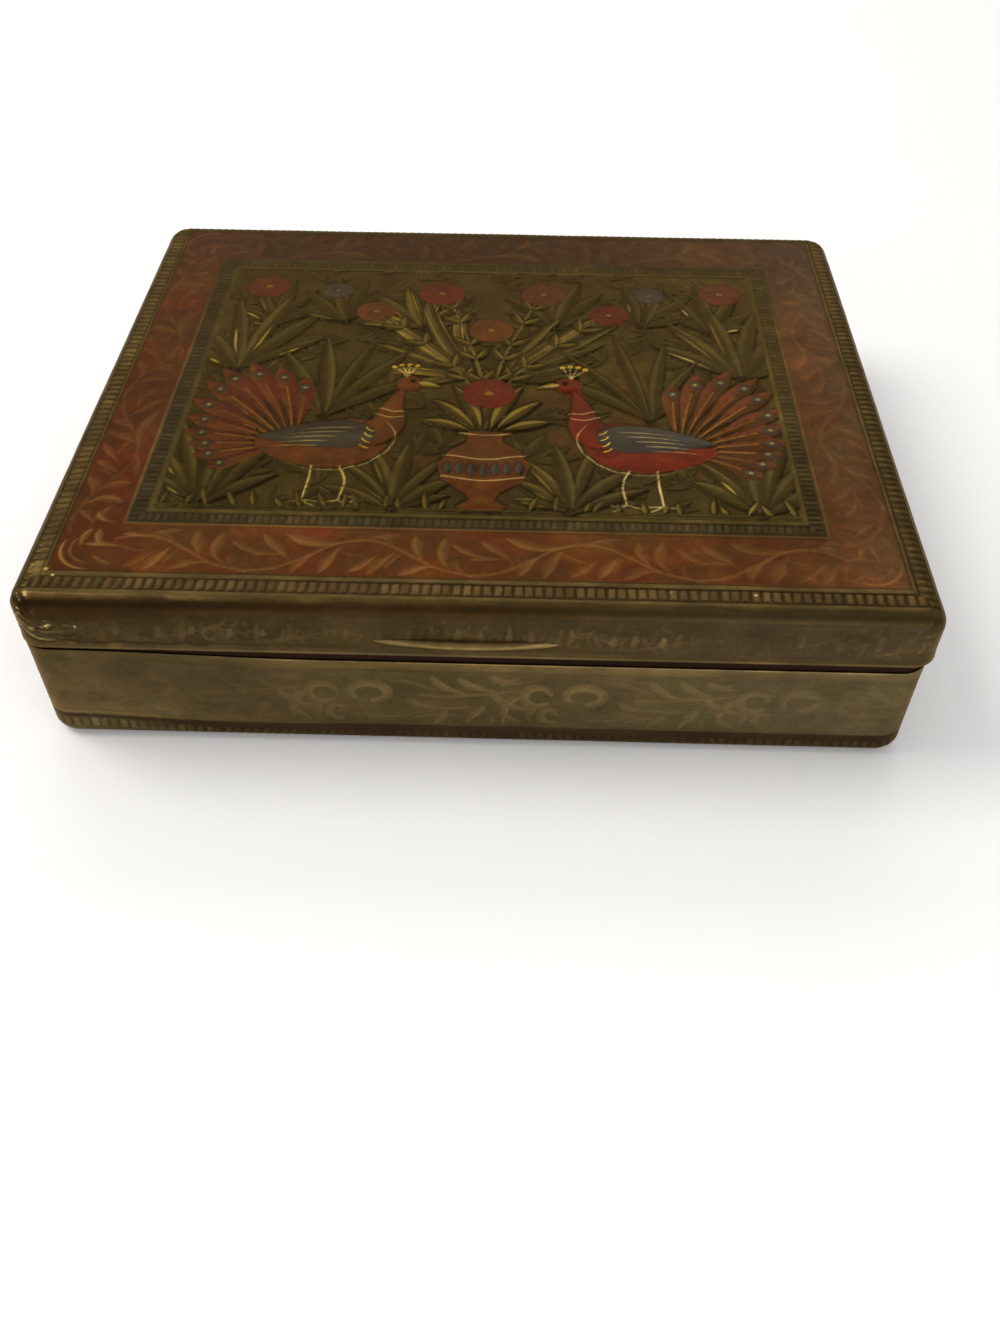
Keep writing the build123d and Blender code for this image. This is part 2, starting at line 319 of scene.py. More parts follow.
# one wave of the border's leaf scroll, in mm along and across the band: the stem, then each leaf's width, strength and line to its tip
WAVE = ((0, 0.9), (5, 1.9), (10, 5.0), (14.4, 8.1), (18.5, 9.1), (22.5, 8.4), (27.5, 5.3), (31.5, 2.6), (37.2, 0.9))
SPRAY = (
    (1.9, 1.0, ((7.4, 3.5), (5.3, 6.1), (2.9, 8.5), (1.7, 10.2))),
    (1.2, 0.8, ((6.6, 5.0), (3.4, 5.3), (0.0, 4.8))),
    (1.6, 0.85, ((3.0, 5.0), (-0.4, 6.4), (-3.1, 8.5))),
    (2.2, 1.0, ((17.5, 8.9), (13.0, 8.2), (9.2, 8.6), (5.6, 10.5))),
    (2.1, 1.0, ((11.6, 6.3), (9.9, 4.7), (8.7, 2.9), (8.2, 0.8))),
    (2.3, 1.0, ((15.8, 8.2), (14.0, 5.7), (13.0, 3.2), (12.4, 0.6))),
    (1.6, 0.9, ((21.6, 6.0), (19.3, 3.3), (16.4, 0.9))),
    (1.9, 1.0, ((24.6, 6.8), (22.3, 3.6), (20.8, 0.6))),
    (2.1, 0.95, ((31.4, 2.9), (28.2, 2.7), (25.0, 0.7))),
    (2.1, 1.0, ((29.6, 4.0), (28.0, 7.0), (27.4, 10.4))),
    (2.0, 1.0, ((33.6, 1.9), (31.9, 5.6), (32.4, 10.4))),
    (1.2, 0.7, ((18.3, 9.0), (21.8, 10.2), (25.0, 10.7))),
    (1.0, 0.6, ((13.6, 7.7), (16.6, 5.6), (19.8, 4.8))),
    (1.1, 0.6, ((26.0, 6.4), (24.2, 4.2), (23.6, 2.2))),
    (1.0, 0.55, ((24.5, 7.6), (23.6, 9.2), (21.2, 10.6))),
    (1.0, 0.5, ((36.0, 1.2), (34.8, 3.0), (35.4, 5.0))),
)


def scroll(S, put, long, width, phase, seed, strength=1.0, tired=0.0):
    """The painted border's running leaf scroll. put() takes points along and across the band."""
    rng = np.random.RandomState(seed)
    q = width / 11.9
    start = phase % 37.2 - 37.2
    while start < long:
        s0 = strength * (0.9 + 0.2 * rng.rand())
        stem = [(start + u, v * q) for u, v in through(WAVE, 6) if 0 <= start + u <= long]
        if len(stem) > 4:
            line(S, put(stem), 0.7, 0.7, 0.04, LEAF_TAN * 0.95, 0.25, 0.3, cover=min(1, 0.6 * s0))
        for wide, cov, dots in SPRAY:
            stray = rng.uniform(-0.9, 0.9)
            dots = [(start + u + rng.uniform(-0.3, 0.3) + stray * j / len(dots), (v + rng.uniform(-0.2, 0.2)) * q) for j, (u, v) in enumerate(dots)]
            worn_ = 1 - tired * smooth(0.55, 0.9, dots[0][0] / long)
            fade = min(1.0, cov * s0 * worn_ * rng.uniform(0.55, 0.92))
            turn = rng.uniform(0.85, 1.12)
            if all(-1.5 < u < long + 1.5 for u, _ in dots):
                leaf(S, put(through(dots, 5)), wide * turn, -0.04, LEAF_TAN * 1.06, LEAF_TAN * 0.86, 0.25, 0.64, 0.0, 0.14, 0.3, 1.0, 0.22, cover=fade)
        start += 37.2


def enamel(S, m):
    """Red to brown paint, thin and uneven, with a painted reflection of a hazy light that makes it browner and greyer
    towards the right and the back.
    """
    X, Y = S.X, S.Y
    big = layered(X / 9, Y / 9, 0, 11, 3)
    streak = layered(X / 2.6, Y / 2.6, 0, 12, 3)
    # towards: browner and greyer towards the right and the back, a painted reflection of a hazy light
    towards = smooth(-10, 70, X) * 0.35 + smooth(20, 62, Y) * 0.45
    k = np.clip(0.62 + 0.62 * big + 0.25 * streak + towards * 0.4, 0, 1)
    c = mix(RED, RUST, k[..., None])
    c = mix(c, tone(0.33, 0.215, 0.15), (towards * 0.85)[..., None])
    one = tone(1, 1, 1)
    c = c * tone(0.945, 0.875, 0.58) * (1 + 0.12 * smooth(22, 6, np.hypot(np.abs(X) - 68, Y + 53)))[..., None]
    # darker at the front left; greyer and bluer towards the back and the right, more of the painted reflection of the
    # hazy light
    left, back, right = smooth(-50, -66, X)[..., None], smooth(36, 52, Y)[..., None], smooth(50, 68, X)[..., None]
    far = smooth(8, 40, Y)[..., None]
    c = c * mix(one, mix(tone(0.79, 0.70, 0.48), tone(0.94, 0.84, 1.10), far), left)
    c = c * mix(one, mix(mix(tone(0.95, 0.90, 1.10), tone(0.70, 0.69, 1.02), smooth(-64, -48, X)[..., None]), tone(0.93, 1.02, 1.50), smooth(14, 42, X)[..., None]), back)
    c = c * mix(one, tone(1.05, 1.22, 2.0) * mix(one, tone(1.0, 1.05, 1.2), smooth(-20, 16, Y)[..., None]), right * (1 - 0.62 * back))
    c = c * (1 + 0.10 * layered(X / 1.1, Y / 1.1, 0, 13, 2))[..., None]
    S.rgb = mix(S.rgb, c, m[..., None])
    S.paint = mix(S.paint, 0.92 - 0.25 * smooth(0.35, 0.8, layered(X / 3.5, Y / 3.5, 0, 14, 3)), m)
    S.h = mix(S.h, 0.015 * streak, m)


def fan(S, x, y, headings, lengths, width, turn, light, shade, seed, rise=0.18, shine=0.35, gold_glint=0.5, fine=False):
    """A tuft of embossed leaves that spread from one root. The middle ones lie on top, and one side of the tuft is
    painted lighter, with painted gold glints, as if it catches the light.
    """
    rng = np.random.RandomState(seed)
    n = len(headings)
    order = sorted(range(n), key=lambda i: -abs(i - (n - 1) / 2))
    mid = sum(headings) / n
    bright_from = mid + rng.uniform(-12, 8)
    for i in order:
        hd, ln = headings[i], lengths[i]
        t = turn * (1 if hd > mid else -1) * min(1, abs(hd - mid) / 35)
        g = rng.rand()
        lit_ = 1.0 if hd > bright_from else 0.25
        hi = mix(light, GOLD, 0.12 * gold_glint * g * lit_)
        lo = shade * (0.80 + 0.4 * rng.rand())
        pts = bend(x + rng.uniform(-0.5, 0.5), y + rng.uniform(-0.3, 0.5), hd, ln * rng.uniform(0.93, 1.07), t + rng.uniform(-6, 6))
        wd = width * rng.uniform(0.8, 1.1)
        leaf(S, pts, wd, rise, hi * (1.04 + 0.12 * lit_), lo * 0.80, 0.05, 0.52, 0.7, 0.55, shine * 0.6 * g * lit_, -1 if hd > mid else 1, 0.2, 0.96)
        along = lambda e, a, b: [(qx - e * wd * sin(radians(hd)) * min(1, j / 3), qy + e * wd * cos(radians(hd)) * min(1, j / 3)) for j, (qx, qy) in enumerate(pts) if a <= j / (len(pts) - 1) <= b]  # noqa: B023,E731
        # painted glints: bright lines along the leaves on the lit side, in bundles when fine
        if fine:
            for e in (-0.30, -0.1, 0.12, 0.30):
                if rng.rand() < 0.8:
                    line(S, along(e, 0.1, 0.95), 0.22, 0.42, 0.035, mix(LEAF_HI, GOLD, 0.35 + 0.65 * g), 0.0, 0.5 + 0.5 * shine, 0.0, peak=0.62, cover=rng.uniform(0.3, 0.95))
        elif rng.rand() < (0.3 + 0.6 * gold_glint) * lit_:
            a_ = rng.uniform(0.15, 0.4)
            line(S, along(0.24 if hd > mid else -0.24, a_, a_ + rng.uniform(0.35, 0.55)), 0.42, 0.62, 0.0, mix(mix(SILVER, GOLD, 0.3 + 0.6 * g), LEAF_HI, 0.25), 0.0, 0.35 + 0.5 * shine, 0.0, peak=0.5, cover=rng.uniform(0.35, 0.95))
        if rng.rand() < 0.75:
            line(S, along(-0.12 if hd > mid else 0.12, 0.05, 0.8), 0.3, 0.3, 0.04, lo * 0.9, 0.0, 0.0, 0.25, peak=0.5, cover=0.45)
    # the hollow that the leaves grow from, sunk and darkened with painted shade
    w, X, Y = S.window([(x, y)], width * 0.9)
    if X.size:
        q = smooth(width * 0.55, 0.2, np.hypot(X - x, Y - y))
        S.h[w] -= 0.10 * q
        S.rgb[w] = mix(S.rgb[w], shade * 0.7, (0.75 * q)[..., None])
        S.shine[w] *= 1 - q


def undergrowth(S, n, seed):
    """Small, faint leaves all over the ground, cut and beaten before the larger ones."""
    rng = np.random.RandomState(seed)
    x0, x1, y0, y1 = PANEL
    for _ in range(n):
        x, y = rng.uniform(x0, x1), rng.uniform(y0, y1)
        hd = 90 + rng.uniform(-75, 75)
        size = rng.uniform(4.5, 9.5)
        # far: leaves towards the back fade into the painted haze of a reflection
        far = smooth(10, 44, np.float32(y))
        for k in range(rng.randint(3, 6)):
            a = hd + (k - 2) * rng.uniform(18, 30)
            hi = mix(LEAF_HI * rng.uniform(0.72, 0.98), tone(0.30, 0.23, 0.125), 0.5 * far)
            leaf(S, bend(x, y, a, size * rng.uniform(0.7, 1.05), rng.uniform(-26, 26)), size * rng.uniform(0.22, 0.32), 0.09, hi, OLIVE_DK * rng.uniform(0.85, 1.15), 0.05, 0.5, 0.7, 0.45, 0.0, rng.choice((-1, 1)), 0.22, 0.85)


def blossom(S, x, y, r, petals, rgb, seed, heart=GOLD):
    rng = np.random.RandomState(seed)
    blob(S, ring(x, y, r, 30, 0.97), 0.10, rgb, 0.85, 0.35, 1.6, mottle=0.25, seed=seed)
    a0 = rng.uniform(0, 360)
    for i in range(petals):
        a = a0 + 360 * i / petals
        x1, y1 = x + 0.36 * r * cos(radians(a)), y + 0.36 * r * sin(radians(a))
        leaf(S, bend(x1, y1, a, r * 0.58, 8), r * 0.46, 0.13, rgb * 1.05, rgb * 0.93, 0.85, 0.55, 0.3, 0.10, soft=0.3, cover=0.6)
    blob(S, ring(x, y, r * 0.17, 14), 0.13, mix(heart, rgb, 0.55), 0.5, 0.4, 0.4, shine=0.1, seed=seed + 1)


def bird(S, put, body, wing, tail, seed):
    """A peacock in the flat, traditional manner, facing along +x of its own frame."""
    rng = np.random.RandomState(seed)
    for i, (hd, ln, tn) in enumerate(tail[2]):
        pts = bend(-6, 0.5, hd, ln, tn)
        leaf(S, put(pts), 4.3, 0.16, tail[0] * rng.uniform(0.92, 1.08), tail[1], 0.8, 0.76, 0.6, 0.5, 0.0, 1.0, 0.2, 0.95)
        for q in range(5):
            bx, by = bend(-6, 0.5, hd, ln * (0.42 + 0.1 * q), tn * (0.42 + 0.1 * q))[-1]
            for e in (-1, 1):
                line(S, put(bend(bx, by, hd + tn * 0.5 + e * 38, 1.5 + 0.12 * q, -e * 20)), 0.22, 0.2, 0.04, tail[1] * 0.8, 0.7, 0.0, 0.2, cover=0.6)
        line(S, put(bend(-6, 0.5, hd, ln * 0.72, tn * 0.72)), 0.3, 0.26, 0.03, mix(GOLD, tail[0], 0.3), 0.1, 0.5, 0.0, cover=0.75 * rng.uniform(0.4, 1))
        ex, ey = bend(-6, 0.5, hd, ln * 0.84, tn * 0.84)[-1]
        blob(S, put(ring(ex, ey, 1.0, 16)), 0.17, wing, 0.8, 0.3, 0.5, seed=seed + i)
        blob(S, put(ring(ex, ey, 0.4, 10)), 0.17, mix(GOLD, wing, 0.35), 0.2, 0.2, 0.3, shine=0.15, seed=seed + i)
    blob(S, put(through([(9, 3), (6.5, 7), (1, 7.6), (-6, 5.2), (-12, 1.2), (-9, -2.4), (-2, -5), (4, -4.4), (8, -1.2)], 5, True)), 0.20, body, 0.85, 0.55, 3.0, mottle=0.25, seed=seed)
    neck = through([(4.2, 1.6), (8.4, 6.2), (9.2, 11.8), (10.6, 17.2)], 6)
    leaf(S, put(neck), 7.4, 0.25, body * 1.10, body * 0.82, 0.75, 0.22, 0.0, 0.8)
    line(S, put(through([(8.9, 9.6), (9.5, 13.4), (10.8, 17.4)], 5)), 3.0, 2.6, -0.06, body, 0.9)
    blob(S, put(ring(11.3, 18.4, 2.3, 20)), 0.24, body, 0.75, 0.8, 1.2, seed=seed + 4)
    leaf(S, put(bend(12.9, 18.5, -8, 4.2, -18)), 1.7, 0.18, SILVER, GOLD * 0.9, 0.0, 0.25, 0.0, 0.7, 0.3)
    blob(S, put(ring(11.9, 18.9, 0.55, 10)), 0.30, tone(0.08, 0.06, 0.04), 0.2, 0.0, 0.3, seed=seed)
    for hd in (62, 82, 102, 122):
        p = bend(10.8, 20.2, hd, 3.9, 12)
        line(S, put(p), 0.30, 0.24, -0.05, SILVER, 0.0, 0.6, 0.0)
        blob(S, put(ring(p[-1][0], p[-1][1], 0.55, 10)), 0.14, GOLD * 0.9, 0.0, 0.5, 0.3, shine=0.4, seed=seed)
    # wing
    leaf(S, put(bend(7.0, 3.4, 176, 19.5, 14)), 8.6, 0.24, wing * 1.12, wing * 0.85, 0.8, 0.30, 0.0, 0.55, soft=0.2)
    for j in range(5):
        line(S, put(bend(3.6 - j * 1.4, 3.4 - j * 0.5 + 1.8 - 0.7 * j, 178, 9.0 - j * 0.3, 14)), 0.30, 0.20, 0.05, SILVER, 0.0, 0.6, 0.0, peak=0.4, cover=0.85)
    for j in range(4):
        line(S, put(bend(5.4 - j * 0.2, 5.4 - j * 1.5, -70, 1.6, 60)), 0.32, 0.3, 0.05, GOLD, 0.0, 0.7, 0.0)
    for yy, (xa, xb) in ((8.6, (6.4, 11.0)), (10.2, (7.0, 11.4))):
        line(S, put(through([(xa, yy + 0.8), ((xa + xb) / 2, yy - 0.3), (xb, yy + 0.1)], 4)), 0.36, 0.30, 0.04, SILVER, 0.0, 0.6, 0.0, cover=0.85)
    # outline of the breast, cut bright
    line(S, put(through([(8.6, 7.0), (10.2, 3.4), (8.6, -1.4), (4.2, -5.0), (-2, -5.6), (-8.5, -3.0)], 5)), 0.36, 0.26, 0.04, SILVER, 0.0, 0.6, 0.0, peak=0.35, cover=0.9)
    for xa, xb in ((2.2, 3.4), (-2.2, -2.2)):
        line(S, put(through([(xa, -4.8), (xb, -8.4), (xb - 0.4, -13.2)], 4)), 0.46, 0.36, -0.06, SILVER, 0.0, 0.75, 0.0)
        for hd in (-8, -38, 190):
            line(S, put(bend(xb - 0.4, -13.2, hd, 2.4, 10)), 0.36, 0.24, -0.05, SILVER, 0.0, 0.6, 0.0)


def shoulder_reflection_tone(X):
    """The smooth shoulder's brown, painted as a dark reflection: dark at the left, paler and greyer to the right."""
    c = mix(tone(0.235, 0.165, 0.085), tone(0.275, 0.20, 0.11), smooth(-66, -6, X)[..., None])
    return mix(c, tone(0.315, 0.26, 0.175), smooth(-4, 42, X)[..., None])


def painted_shoulder_shade(X, s):
    """Painted shade on the shoulder's crest, a dark reflection: how dark it is, s mm along the bend from its lower end.
    """
    b = np.interp(s, (0.4, 1.78, 2.67, 3.5, 4.45, 5.3), (0.0, 0.42, 0.82, 1.0, 0.5, 0.0))
    return (1 - (0.19 + 0.16 * smooth(-55, 15, X)) * b)[..., None]


def draw_top():
    S = Sheet(-78.5, 78.5, -67.0, 67.0)
    X, Y = S.X, S.Y
    S.rgb[:] = BRASS_HI * 0.93
    # light strip outside the beads, then the smooth shoulder, painted brown and darker on its crest as a reflection
    S.rgb *= (1 + 0.14 * layered(X / 6, Y / 3, 0, 3, 4))[..., None]
    away = np.maximum(np.maximum(OUT[0] - X, X - OUT[1]), np.maximum(OUT[2] - Y, Y - OUT[3]))
    wave = 1.55 + 0.35 * layered(X / 3.4, Y / 3.4, 0, 5, 3) + 0.2 * layered(X / 12, Y / 12, 0, 6, 1)
    wave = wave + 0.4 * smooth(15, 60, X) - 1.2 * smooth(-0.5, 0.5, np.maximum(np.maximum(OUT[0] - X, X - OUT[1]), Y - OUT[3]) - (OUT[2] - Y))
    fall = smooth(-0.25, 0.55, away - wave)
    S.rgb[:] = mix(S.rgb, shoulder_reflection_tone(X) * (1.08 + 0.52 * smooth(-60, 20, X) + 0.14 * layered(X / 10, Y / 4, 0, 7, 3))[..., None] * painted_shoulder_shade(X, 5.34 - np.maximum(np.abs(X) - 72.6, np.abs(Y) - 61.1)), (0.92 * fall)[..., None])
    S.h[:] = 0.05 * (1 - fall)
    fold = smooth(0.34, 0.05, np.abs(away - wave))
    S.h -= 0.05 * fold
    S.dirt[:] = np.maximum(0.08, 0.5 * fold * smooth(-0.3, 0.4, layered(X / 9, Y / 9, 0, 8, 2)))
    S.shine[:] = 0.22 * (1 - fall) * smooth(0.0, 0.5, layered(X / 9, Y / 9, 0, 9, 3))
    # painted border
    e = box_of(S, ENAMEL)
    plain = [a.copy() for a in (S.h, S.rgb, S.paint, S.shine, S.dirt)]
    enamel(S, np.ones_like(X))
    x0, x1, y0, y1 = ENAMEL
    fx0, fx1, fy0, fy1 = FRAME
    wf, wr, wb, wl = fy0 - y0, x1 - fx1, y1 - fy1, fx0 - x0
    scroll(S, lambda p: [(x0 + 9 + u, y0 + v) for u, v in p], x1 - x0 - 18, wf, 23.3, 5, 0.9, 0.35)
    scroll(S, lambda p: [(x1 - v, y0 + 9 + u) for u, v in p], y1 - y0 - 18, wr, 12.0, 6, 0.42)
    scroll(S, lambda p: [(x1 - 9 - u, y1 - v) for u, v in p], x1 - x0 - 18, wb, 9.0, 7, 0.30)
    scroll(S, lambda p: [(x0 + v, y1 - 9 - u) for u, v in p], y1 - y0 - 18, wl, 20.0, 8, 0.34, -0.9)
    # corner turns: nested curved lines and a few leaves
    for cx, cy, a0, st in ((x0, y0, 180, 1.0), (x1, y0, 270, 0.6), (x1, y1, 0, 0.3), (x0, y1, 90, 0.4)):
        sx, sy = (1 if cx < 0 else -1), (1 if cy < 0 else -1)
        for j, (r, wd, cv) in enumerate(((5.0, 0.75, 0.9), (3.7, 0.5, 0.5))):
            ox, oy = cx + sx * (6.0 + 0.2 * j), cy + sy * (6.0 + 0.2 * j)
            arc = [(ox + (r + 0.05 * t) * cos(radians(a0 + 9 * t)), oy + (r + 0.05 * t) * sin(radians(a0 + 9 * t))) for t in range(-2 - 2 * j, 12 + j)]
            line(S, arc, wd, wd * 0.6, 0.05, LEAF_TAN * 1.08, 0.2, 0.45, peak=0.42, cover=min(1, cv * st))
        for wide, cv, dots in (
            (1.3, 0.9, ((10.8, 6.3), (7.6, 6.9), (4.5, 6.7))), (1.5, 0.95, ((7.5, 6.2), (6.6, 8.2), (6.3, 10.7))), (1.4, 0.85, ((4.0, 5.9), (4.1, 8.4), (5.0, 10.9))),
            (1.2, 0.8, ((15.4, 8.8), (13.0, 9.4), (10.4, 9.6))), (1.1, 0.6, ((6.4, 4.2), (8.0, 2.6), (10.2, 1.7))), (1.2, 0.6, ((4.6, 12.2), (3.4, 13.8), (1.4, 15.6))), (1.3, 0.7, ((8.2, 12.4), (6.0, 13.4), (4.6, 15.4))),
        ):
            leaf(S, through([(cx + sx * u, cy + sy * v) for u, v in dots], 5), wide, -0.04, LEAF_TAN * 1.08, LEAF_TAN * 0.86, 0.25, 0.6, 0.0, 0.14, 0.3, 1.0, 0.22, cover=min(1, cv * st))
    for a, b in zip((S.h, S.rgb, S.paint, S.shine, S.dirt), plain):
        q = e if a.ndim == 2 else e[..., None]
        a[:] = mix(b, a, q)
    # bead rows: outer
    ox0, ox1, oy0, oy1 = OUT
    tall = 2.75
    outer = box_of(S, OUT) * (1 - box_of(S, (ox0 + tall, ox1 - tall, oy0 + tall, oy1 - tall)))
    dist = np.stack([Y - oy0, ox1 - X, oy1 - Y, X - ox0])
    which = dist.argmin(0)
    for i, (u, v, long, seed) in enumerate(
        ((X - ox0, Y - oy0, ox1 - ox0, 21), (Y - oy0, ox1 - X, oy1 - oy0, 22), (ox1 - X, oy1 - Y, ox1 - ox0, 23), (oy1 - Y, X - ox0, oy1 - oy0, 24))
    ):
        bead_row(S, u, v, long, tall, 1.66, outer * (which == i), seed, rise=(0.08, 0.06, 0.01, 0.06)[i], light=BRASS_HI * (tone(0.93, 0.905, 0.93), 0.90, 0.80, 0.92)[i], flush=0.5, contrast=(0.58, 0.36, 0.10, 0.5)[i])
    # plain raised strip between beads and paint
    strip = box_of(S, (ox0 + tall, ox1 - tall, oy0 + tall, oy1 - tall)) * (1 - e)
    S.rgb = mix(S.rgb, BRASS_HI * 0.92 * (1 + 0.1 * layered(X / 3, Y / 3, 0, 17, 3))[..., None], strip[..., None])
    S.h = mix(S.h, 0.07, strip)
    S.paint *= 1 - strip
    for r in (ENAMEL, (ox0, ox1, oy0, oy1), (ox0 + tall, ox1 - tall, oy0 + tall, oy1 - tall)):
        a, b, c, d = r
        for (px, py), (qx, qy) in (((a, c), (b, c)), ((b, c), (b, d)), ((b, d), (a, d)), ((a, d), (a, c))):
            run = [(mix(px, qx, t / 20) + 0.05 * sin(t * 2.1 + a), mix(py, qy, t / 20) + 0.05 * sin(t * 1.7 + c)) for t in range(21)]
            line(S, run, 0.28, 0.28, 0.05, PIT, 0.0, 0.0, 0.4, cover=0.6)
    # a pale worn patch at the beads' front left corner, brightened with a painted highlight; then small painted glints
    # there and along the front bead row
    bright = smooth(2.4, 0.9, np.hypot(X + 71.9, (Y + 55.8) * 0.9)) * (0.6 + 0.4 * layered(X / 1.2, Y / 1.2, 0, 27, 2))
    S.rgb = mix(S.rgb, BRASS_HI * 1.28, (0.75 * bright)[..., None])
    S.shine = np.maximum(S.shine, 0.4 * bright)
    S.dirt = S.dirt * (1 - bright)
    for gx, gy, gr, gk in ((-70.6, -56.0, 0.55, 0.9), (-69.1, -57.5, 0.42, 0.9), (-73.3, -55.7, 0.5, 0.8), (-72.4, -54.5, 0.3, 0.6), (4.0, -58.7, 0.24, 0.7), (31.4, -58.3, 0.26, 0.55), (45.0, -58.6, 0.36, 0.95), (-12.6, -59.2, 0.2, 0.5)):
        glint_spot = smooth(gr, gr * 0.35, np.hypot(X - gx, (Y - gy) * 1.25)) * gk
        S.rgb = mix(S.rgb, SILVER * 1.1, glint_spot[..., None])
        S.shine = np.maximum(S.shine, glint_spot)
    # frame of the panel
    f = box_of(S, FRAME)
    S.rgb = mix(S.rgb, MOSS * 0.93, f[..., None])
    S.paint *= 1 - f
    S.dirt = mix(S.dirt, 0.15, f)
    S.h = mix(S.h, 0.0, f)
    gold = f * (1 - box_of(S, (fx0 + 0.55, fx1 - 0.55, fy0 + 0.55, fy1 - 0.55)))
    S.rgb = mix(S.rgb, mix(LEAF_TAN * 1.02, GOLD_LEAF, 0.35), (gold * (0.92 - 0.72 * smooth(12, 44, Y) - 0.2 * smooth(-20, 30, X)))[..., None])
    S.h = mix(S.h, 0.07, gold)
    t2 = 2.35
    r2 = (fx0 + 0.85, fx1 - 0.85, fy0 + 0.85, fy1 - 0.85)
    inner = box_of(S, r2) * (1 - box_of(S, (r2[0] + t2, r2[1] - t2, r2[2] + t2, r2[3] - t2)))
    dist = np.stack([Y - r2[2], r2[1] - X, r2[3] - Y, X - r2[0]])
    which = dist.argmin(0)
    for i, (u, v, long, seed) in enumerate(
        ((X - r2[0], Y - r2[2], r2[1] - r2[0], 31), (Y - r2[2], r2[1] - X, r2[3] - r2[2], 32), (r2[1] - X, r2[3] - Y, r2[1] - r2[0], 33), (r2[3] - Y, X - r2[0], r2[3] - r2[2], 34))
    ):
        bead_row(S, u, v, long, t2, 1.34, inner * (which == i), seed, 0.04, MOSS * 0.97, MOSS * 0.70, 0.2, contrast=(0.55, 0.45, 0.10, 0.45)[i], fade=smooth(22, -36, Y))
    edge = box_of(S, (r2[0] + t2, r2[1] - t2, r2[2] + t2, r2[3] - t2)) * (1 - box_of(S, PANEL))
    S.rgb = mix(S.rgb, tone(0.30, 0.25, 0.135) * (1 + 0.12 * layered(X / 2.5, Y / 2.5, 0, 19, 3))[..., None], edge[..., None])
    S.h = mix(S.h, 0.09, edge)
    S.dirt *= 1 - edge
    S.rgb *= mix(tone(1, 1, 1), tone(0.87, 0.89, 0.98), (f * smooth(-51, -55, X))[..., None])
    # ---------------- the panel: a garden with two birds at a vase
    p = box_of(S, PANEL)
    keep = [a.copy() for a in (S.h, S.rgb, S.paint, S.shine, S.dirt)]
    g = np.clip(0.5 + 0.8 * layered(X / 11, Y / 8, 0, 41, 3), 0, 1)
    ground = mix(OLIVE_DK * 0.92, OLIVE * 1.14, g[..., None])
    warm = smooth(0.15, 0.7, layered(X / 14, Y / 12, 0, 47, 2))
    ground = mix(ground, tone(0.35, 0.20, 0.075), (0.6 * warm)[..., None])
    # paler and greyer towards the back: the painted haze of a reflected hazy light
    painted_haze = smooth(8, 46, Y)
    ground = mix(ground, tone(0.27, 0.21, 0.12), (0.5 * painted_haze)[..., None])
    S.rgb[:] = ground * (1 + 0.12 * layered(X / 1.4, Y / 1.4, 0, 42, 2))[..., None]
    S.h[:] = -0.04 + 0.035 * layered(X / 3.0, Y / 3.0, 0, 43, 3)
    S.paint[:] = 0.12 + 0.35 * warm
    S.shine[:] = 0.0
    S.dirt[:] = 0.10
    undergrowth(S, 190, 44)
    # tufts of leaves behind
    fan(S, -14, 20, (40, 62, 84, 104, 126, 148, 168), (12, 16, 18, 19, 18, 16, 13), 3.6, 18, LEAF_HI * 0.9, OLIVE_DK * 0.9, 75, gold_glint=0.85, shine=0.7, fine=True)
    fan(S, 13, 21, (14, 34, 56, 76, 96, 118, 140), (13, 16, 18, 19, 18, 16, 12), 3.6, 18, LEAF_HI * 0.85, OLIVE_DK * 0.9, 76, gold_glint=0.3, shine=0.3)
    fan(S, -45, 20, (50, 70, 90, 112, 134, 156), (15, 18, 20, 18, 14, 9), 3.6, 16, LEAF_HI * 0.8, OLIVE_DK * 0.85, 77, gold_glint=0.45, shine=0.5)
    fan(S, 45, 20, (24, 46, 68, 90, 110, 130), (9, 14, 18, 20, 18, 15), 3.6, 16, LEAF_HI * 0.78, OLIVE_DK * 0.85, 78, gold_glint=0.2, shine=0.2)
    fan(S, -50, 3, (44, 62, 80, 98, 116, 138), (22, 27, 30, 29, 22, 13), 4.0, 18, LEAF_HI * 0.84, OLIVE_DK, 55, gold_glint=0.6, shine=0.5)
    fan(S, 50, 3, (42, 64, 82, 100, 118, 136), (13, 22, 29, 30, 27, 22), 4.2, 16, LEAF_HI * 0.78, OLIVE_DK, 56, gold_glint=0.25, shine=0.2)
    fan(S, -30, 22, (68, 86, 104, 126, 150), (15, 18, 19, 17, 13), 3.4, 16, LEAF_HI * 0.74, OLIVE_DK, 65, gold_glint=0.2, shine=0.2)
    fan(S, 31, 22, (30, 54, 76, 94, 112), (13, 17, 19, 18, 15), 3.4, 16, LEAF_HI * 0.72, OLIVE_DK, 66, gold_glint=0.2, shine=0.2)
    fan(S, -49, -39, (50, 66, 80, 93, 106, 120, 134), (15, 20, 25, 28, 28, 22, 15), 3.6, 22, LEAF_HI, OLIVE_DK, 51)
    fan(S, 48.5, -39, (46, 60, 74, 87, 100, 114, 130), (15, 22, 28, 28, 25, 20, 15), 3.6, 22, LEAF_HI * 0.9, OLIVE_DK, 52, shine=0.25)
    fan(S, -15.5, -39, (30, 48, 66, 84, 102, 122, 144), (11, 15, 19, 22, 22, 19, 15), 3.2, 20, LEAF_HI, OLIVE_DK, 53, gold_glint=0.9, shine=0.6)
    fan(S, 15.5, -39, (36, 58, 78, 96, 114, 132, 150), (15, 19, 22, 22, 19, 15, 11), 3.2, 20, LEAF_HI, OLIVE_DK, 54, gold_glint=0.7, shine=0.5)
    fan(S, -3, 2, (106, 120, 135, 150, 166, 184), (27, 31, 30, 25, 20, 15), 3.6, 20, LEAF_HI, OLIVE_DK, 57, gold_glint=0.9, shine=0.7, fine=True)
